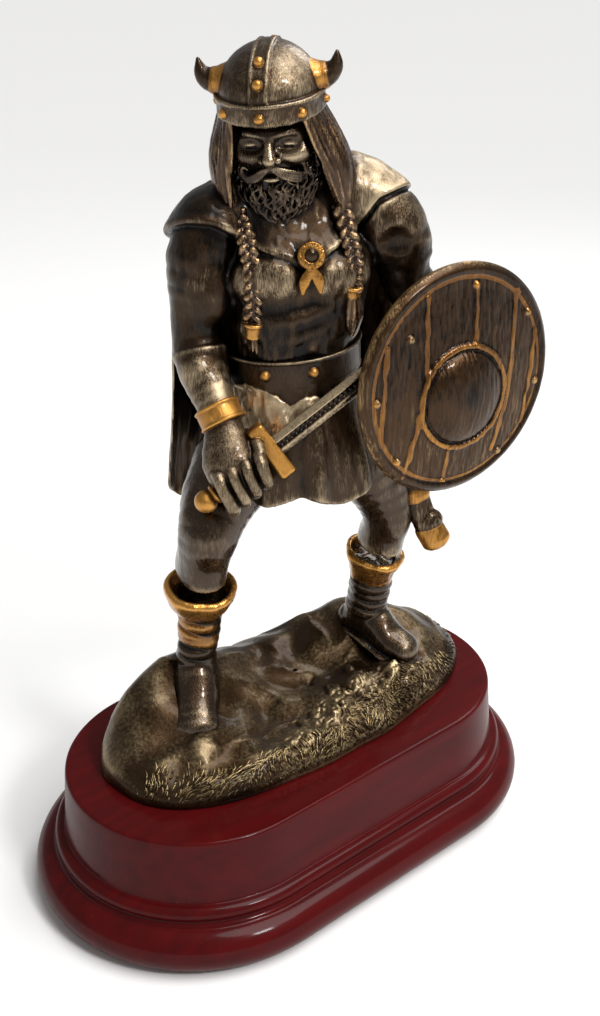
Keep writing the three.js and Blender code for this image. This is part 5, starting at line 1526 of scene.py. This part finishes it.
class FIGURINE_OT_shield(bpy.types.Operator):
    """Models the round plank shield with its boss, ring, battens and rivets"""
    bl_idname = "figurine.shield"
    bl_label = "Shield"

    def execute(self, context):
        radius, turns = SHIELD["radius"], 430
        rings = np.concatenate([np.linspace(0.25, 26.4, 96), np.linspace(26.6, radius, 19)])
        r, a = np.meshgrid(rings, np.linspace(-np.pi, np.pi, turns, endpoint=False), indexing="ij")
        x, z = r * np.cos(a), r * np.sin(a)
        face, gilding, bright = self.face(x, z, r)
        rows = [np.stack([x, -face, z], axis=-1)]
        # The edge and the flat back: share of the radius, and how far it stands out
        for share, out in ((1.0, -1.9), (0.992, -2.6), (0.97, -3.0), (0.6, -3.0), (0.1, -3.0)):
            rows.append(np.stack([x[-1] * share, -np.full(turns, out), z[-1] * share], axis=-1)[None])
        rows = np.concatenate(rows)
        extra = rows.shape[0] * turns - x.size
        points = moved(placed(SHIELD["at"], SHIELD["yaw"]), rows.reshape(-1, 3))
        finish = pewter("shield_pewter", stroke=(0.45, 0.45, 4.5), tint=(1.12, 0.95, 0.68), contrast=0.6, wash=0.3)
        piece("round_shield", points, closed_faces(len(rows), turns), "antique_pewter", finish,
              gilding=np.concatenate([gilding.ravel(), np.full(extra, -1)]),
              bright=np.concatenate([bright.ravel(), np.full(extra, 0.3)]))
        return {"FINISHED"}

    def face(self, x, z, r):
        """How far the front stands out at each spot, how far each spot lies inside gold paint, and how bright it is."""
        spots = np.stack([x, z, 0 * x], axis=-1)
        wander = 0.35 * grain(spots, 3, 1)
        away = np.hypot(x - RING["at"][0], z - RING["at"][1])
        out = -0.55 + 1.9 * np.clip((28 - away) / 16, 0, 1)
        planks = 0.12 * grain(spots, (0.8, 5, 1), 2) + 0.1 * grain(spots, (0.5, 2.6, 1), 5)
        cuts = 0.16 * ramp(grain(spots, (1.0, 9, 1), 9), 0.35, 0.7)
        cuts = cuts + 0.1 * ramp(grain(spots, (0.55, 5, 1), 29), 0.3, 0.6)
        inner = ramp(-r, -27.4, -27.0)
        out = out + (planks - cuts) * inner
        gold = np.full(x.shape, -1.0)
        for line in BATTENS:
            gap = off_line(x + wander, z, line)
            out = out - 0.12 * peak(gap, 1.1, 0.35) + 0.2 * ramp(-gap, -0.95, -0.5)
            gold = np.maximum(gold, 0.7 + 0.3 * grain(spots, (1.5, 3.5, 1), 17) - gap)
        # Boss and its ring
        dome = np.sqrt(np.maximum(0, 1 - (away / BOSS_RADIUS) ** 2))
        out = np.where(away < BOSS_RADIUS, 1.1 + 3.7 * dome**1.1 + 0.12 * grain(spots, (0.7, 4, 1), 14), out)
        ring = RING["half"] + 0.2 * grain(spots, 4, 3)
        off_ring = np.abs(away - RING["radius"] + 0.3 * wander)
        hoop_rise = 0.75 * np.sqrt(np.maximum(0, 1 - (off_ring / (ring + 0.25)) ** 2))
        out = np.where(away > BOSS_RADIUS, out + hoop_rise, out)
        gold = np.maximum(gold, ring - off_ring)
        gold = np.where(away < 12.6, -1, gold)
        rivets = np.zeros(x.shape)
        for k, (cx, cz) in enumerate(RIVETS):
            gap = np.hypot(x - cx, z - cz)
            out = out + 0.75 * np.sqrt(np.maximum(0, 1 - (gap / RIVET_RADIUS) ** 2))
            gold = np.maximum(gold, 1.1 - gap) if k == 0 else np.where(gap < RIVET_RADIUS, -1, gold)
            rivets = np.maximum(rivets, ramp(-gap, -1.2, -0.9))
        # Rim: a chamfer, and a gold line inside it
        rim = np.interp(r, [27.3, 28.0, 28.7, 29.4, 30.2, 30.6], [-0.55, -0.1, 0.12, -0.15, -0.85, -1.3])
        out = np.where(r > RIM_START, rim + 0.05 * grain(spots, 2, 7), out)
        # Painted light from the upper left: it widens the gold line there and drives the painted highlight on the rim
        # below.
        lit = 0.62 + 0.38 * np.clip(-0.7 * x / 30 + 0.5 * z / 30 + 0.6, 0, 1)
        gold = np.maximum(gold, 0.62 * lit - np.abs(r - 27.0 + 0.2 * wander))
        # Brighter on the rim, as a painted highlight strongest on the upper left, on the rivets and the lower planks;
        # darker on the boss and beside the gold
        bright = 0.45 * ramp(r, 28.4, 28.9) * (2 * lit - 1.2) + 0.35 * rivets + 0.08 * ramp(-z, 4, 16) - 0.04
        bright = bright - 0.5 * ramp(r, 27.6, 28.2) - 0.15 * ramp(-away, -13, -12) - 0.35 * (gold > -0.2)
        bright = bright - 0.5 * peak(np.hypot(x - 0.4, z + 3.2), 0, 3.2)
        return out, gold, bright - 0.22 * ramp(z - 0.3 * x, -6, 14) * (away > 12.6) * (r < 27)


# Scabbard

class FIGURINE_OT_scabbard(bpy.types.Operator):
    """Models the end of the scabbard, which shows under the shield"""
    bl_idname = "figurine.scabbard"
    bl_label = "Scabbard"

    def execute(self, context):
        clay = Clay((22, -27, 82), (44, -3, 132), 0.36)
        across = (0.8, -0.6, 0)
        clay.press(limb([[29, -11, 126, 4.2, 2.6], [33.4, -16.5, 100, 3.9, 2.4], [36, -19.6, 92.5, 3.6, 2.3]], across))
        for gilt, stations in ((True, [[32.9, -15.8, 102.6, 4.2, 2.8], [33.2, -16.2, 101.4, 4.2, 2.8]]),
                               (True, [[35.8, -19.3, 92, 4.1, 2.8], [37.2, -21, 88.4, 4.3, 3]]),
                               (False, [[35.5, -18.9, 94.2, 4.2, 2.8], [35.8, -19.3, 93.4, 4.3, 2.9]])):
            clay.press(limb(stations, across), 0.2, gilt)
        cast("scabbard", clay, pewter("scabbard_pewter"), lambda points: 0.1 * grain(points, (1, 1, 3), 2))
        return {"FINISHED"}


# Brooch

class FIGURINE_OT_brooch(bpy.types.Operator):
    """Models the brooch that holds the mantle, with its two tails"""
    bl_idname = "figurine.brooch"
    bl_label = "Brooch"

    def execute(self, context):
        clay = Clay((-6, -20, 162), (8, -11, 179), 0.15, TORSO_PLACE)
        place = aimed((1, -15.6, 173.2), (-0.07, -0.998, 0.25))
        clay.press(spun([(-2.5, 3.1), (-0.6, 3.35), (0.2, 3.4), (0.8, 3.0), (1.0, 2.5), (0.7, 2.0)], place), gilt=True)
        clay.carve(ball(moved(place, [[0, 0, 1.0]])[0], (1.75, 1.3, 1.75)), 0.1)
        clay.press(ball(moved(place, [[0, 0, 0.3]])[0], (1.6, 1.0, 1.6)), 0.05)
        for side in (-1, 1):
            clay.press(limb([[1, -15.9, 170.4, 0.9, 0.7], [1 + side * 1.7, -16.2, 167.2, 1.4, 0.7],
                             [1 + side * 2.2, -16.1, 164.4, 0.5, 0.5]]), 0.15, gilt=True)
        finish = pewter("brooch_gilt", stroke=(0.8, 0.8, 0.8), contrast=0.4, mottle=0.3, roughness=0.25)
        cast("brooch", clay, finish, slot="gilt_paint")
        return {"FINISHED"}


# Patina

CELL = 1.0
AROUND = 8
COARSE_EDGE = 0.36
LOOK_OUT = 2.4
# Pieces of more faces than this keep this share of their triangles
MANY_FACES, KEPT_SHARE = 28000, 0.55


class FIGURINE_OT_patina(bpy.types.Operator):
    """Finds the high spots and the hollows of every cast piece, for the dry brush and the dark wash"""
    bl_idname = "figurine.patina"
    bl_label = "Patina"

    def execute(self, context):
        pieces = [o for o in context.scene.objects if o.type == "MESH" and "gilding" in o.data.attributes]
        shapes = [self.shape(o.data) for o in pieces]
        plinth = [self.shape(o.data) for o in context.scene.objects if o.name.startswith("plinth")]
        low = np.min([s[0].min(0) for s in shapes], axis=0) - AROUND
        size = np.ceil((np.max([s[0].max(0) for s in shapes], axis=0) + AROUND - low) / CELL).astype(int)
        # How much surface lies near each spot of the space round the figure
        near = np.zeros(size)
        for points, _, area, _ in shapes + plinth:
            spots = np.rint((points - low) / CELL).astype(int)
            kept = ((spots >= 0) & (spots < size)).all(axis=1)
            spots, area = spots[kept], area[kept]
            near += np.bincount(np.ravel_multi_index(spots.T, size), area, near.size).reshape(size)
        near = self.blurred(near / CELL**3, (0.25, 0.5, 0.25), 3)
        for thing, (points, facing, _, edges) in zip(pieces, shapes):
            coarse = np.median(np.linalg.norm(points[edges[:, 0]] - points[edges[:, 1]], axis=1)) > COARSE_EDGE
            even = self.smoothed(points, edges, 6 if coarse else 3)
            fine = np.sum((even - self.smoothed(even, edges, 6)) * facing, axis=1) / 0.05
            broad = np.sum((even - self.smoothed(even, edges, 40)) * facing, axis=1) / 0.3
            hollow = ramp(sampled(near, (points + facing * LOOK_OUT - low) / CELL), 0.10, 0.36)
            for name, values in (("relief", np.clip(fine * 0.5 + broad * 0.45, -2, 2)), ("hollow", hollow)):
                layer = thing.data.attributes.new(name, "FLOAT", "POINT")
                layer.data.foreach_set("value", values.astype(np.float32))
        for thing in pieces:
            if len(thing.data.polygons) > MANY_FACES:
                self.thin(context, thing)
        return {"FINISHED"}

    def thin(self, context, thing):
        """Takes triangles away, most where the surface is even."""
        modifier = thing.modifiers.new("Thin", "DECIMATE")
        modifier.ratio = KEPT_SHARE
        graph = context.evaluated_depsgraph_get()
        mesh = bpy.data.meshes.new_from_object(
            thing.evaluated_get(graph), preserve_all_data_layers=True, depsgraph=graph)
        thing.modifiers.clear()
        thing.data, old = mesh, thing.data
        name = old.name
        bpy.data.meshes.remove(old)
        mesh.name = name

    def shape(self, mesh):
        """Points, normals, the area round each point, and edges, in millimetres."""
        points, facing = np.empty(len(mesh.vertices) * 3), np.empty(len(mesh.vertices) * 3)
        mesh.vertices.foreach_get("co", points)
        mesh.vertex_normals.foreach_get("vector", facing)
        edges = np.empty(len(mesh.edges) * 2, int)
        mesh.edges.foreach_get("vertices", edges)
        areas, sides = np.empty(len(mesh.polygons)), np.empty(len(mesh.polygons), int)
        mesh.polygons.foreach_get("area", areas)
        mesh.polygons.foreach_get("loop_total", sides)
        corners = np.empty(len(mesh.loops), int)
        mesh.loops.foreach_get("vertex_index", corners)
        share = np.repeat(areas / sides, sides) / MM**2
        area = np.bincount(corners, np.minimum(share, 1.0), len(mesh.vertices))
        return points.reshape(-1, 3) / MM, facing.reshape(-1, 3), area, edges.reshape(-1, 2)

    def smoothed(self, points, edges, rounds):
        """Every point moved half way to the middle of its neighbours, `rounds` times."""
        a, b = edges.T
        count = np.bincount(a, minlength=len(points)) + np.bincount(b, minlength=len(points))
        for _ in range(rounds):
            total = np.stack([np.bincount(a, points[b, k], len(points)) + np.bincount(b, points[a, k], len(points))
                              for k in range(3)], axis=1)
            points = 0.5 * points + 0.5 * total / count[:, None]
        return points

    def blurred(self, values, kernel, rounds):
        for _ in range(rounds):
            for axis in range(3):
                values = sum(weight * np.roll(values, shift, axis) for weight, shift in zip(kernel, (-1, 0, 1)))
        return values


# Sidebar and registration

class FIGURINE_PT_sidebar(bpy.types.Panel):
    bl_idname = "FIGURINE_PT_sidebar"
    bl_label = "Viking Figurine"
    bl_space_type = "VIEW_3D"
    bl_region_type = "UI"
    bl_category = "Figurine"

    def draw(self, context):
        for group in (context.scene.figurine_finish, context.scene.figurine_stage):
            for name in group.__annotations__:
                self.layout.prop(group, name)
        for operator in OPERATORS:
            self.layout.operator(operator.bl_idname)


OPERATORS = (
    FIGURINE_OT_stage, FIGURINE_OT_plinth, FIGURINE_OT_ground, FIGURINE_OT_grass, FIGURINE_OT_legs,
    FIGURINE_OT_torso, FIGURINE_OT_skirt, FIGURINE_OT_cape, FIGURINE_OT_head, FIGURINE_OT_hair, FIGURINE_OT_helmet,
    FIGURINE_OT_hand, FIGURINE_OT_blade, FIGURINE_OT_shield, FIGURINE_OT_scabbard, FIGURINE_OT_brooch,
    FIGURINE_OT_patina,
)
CLASSES = (FigurineFinish, FigurineStage, *OPERATORS, FIGURINE_PT_sidebar)


def register():
    for kind in CLASSES:
        bpy.utils.register_class(kind)
    bpy.types.Scene.figurine_finish = bpy.props.PointerProperty(type=FigurineFinish)
    bpy.types.Scene.figurine_stage = bpy.props.PointerProperty(type=FigurineStage)


def unregister():
    del bpy.types.Scene.figurine_stage
    del bpy.types.Scene.figurine_finish
    for kind in reversed(CLASSES):
        bpy.utils.unregister_class(kind)


def main():
    register()
    for operator in OPERATORS:
        getattr(bpy.ops.figurine, operator.bl_idname.split(".")[1])()


if __name__ == "__main__":
    main()
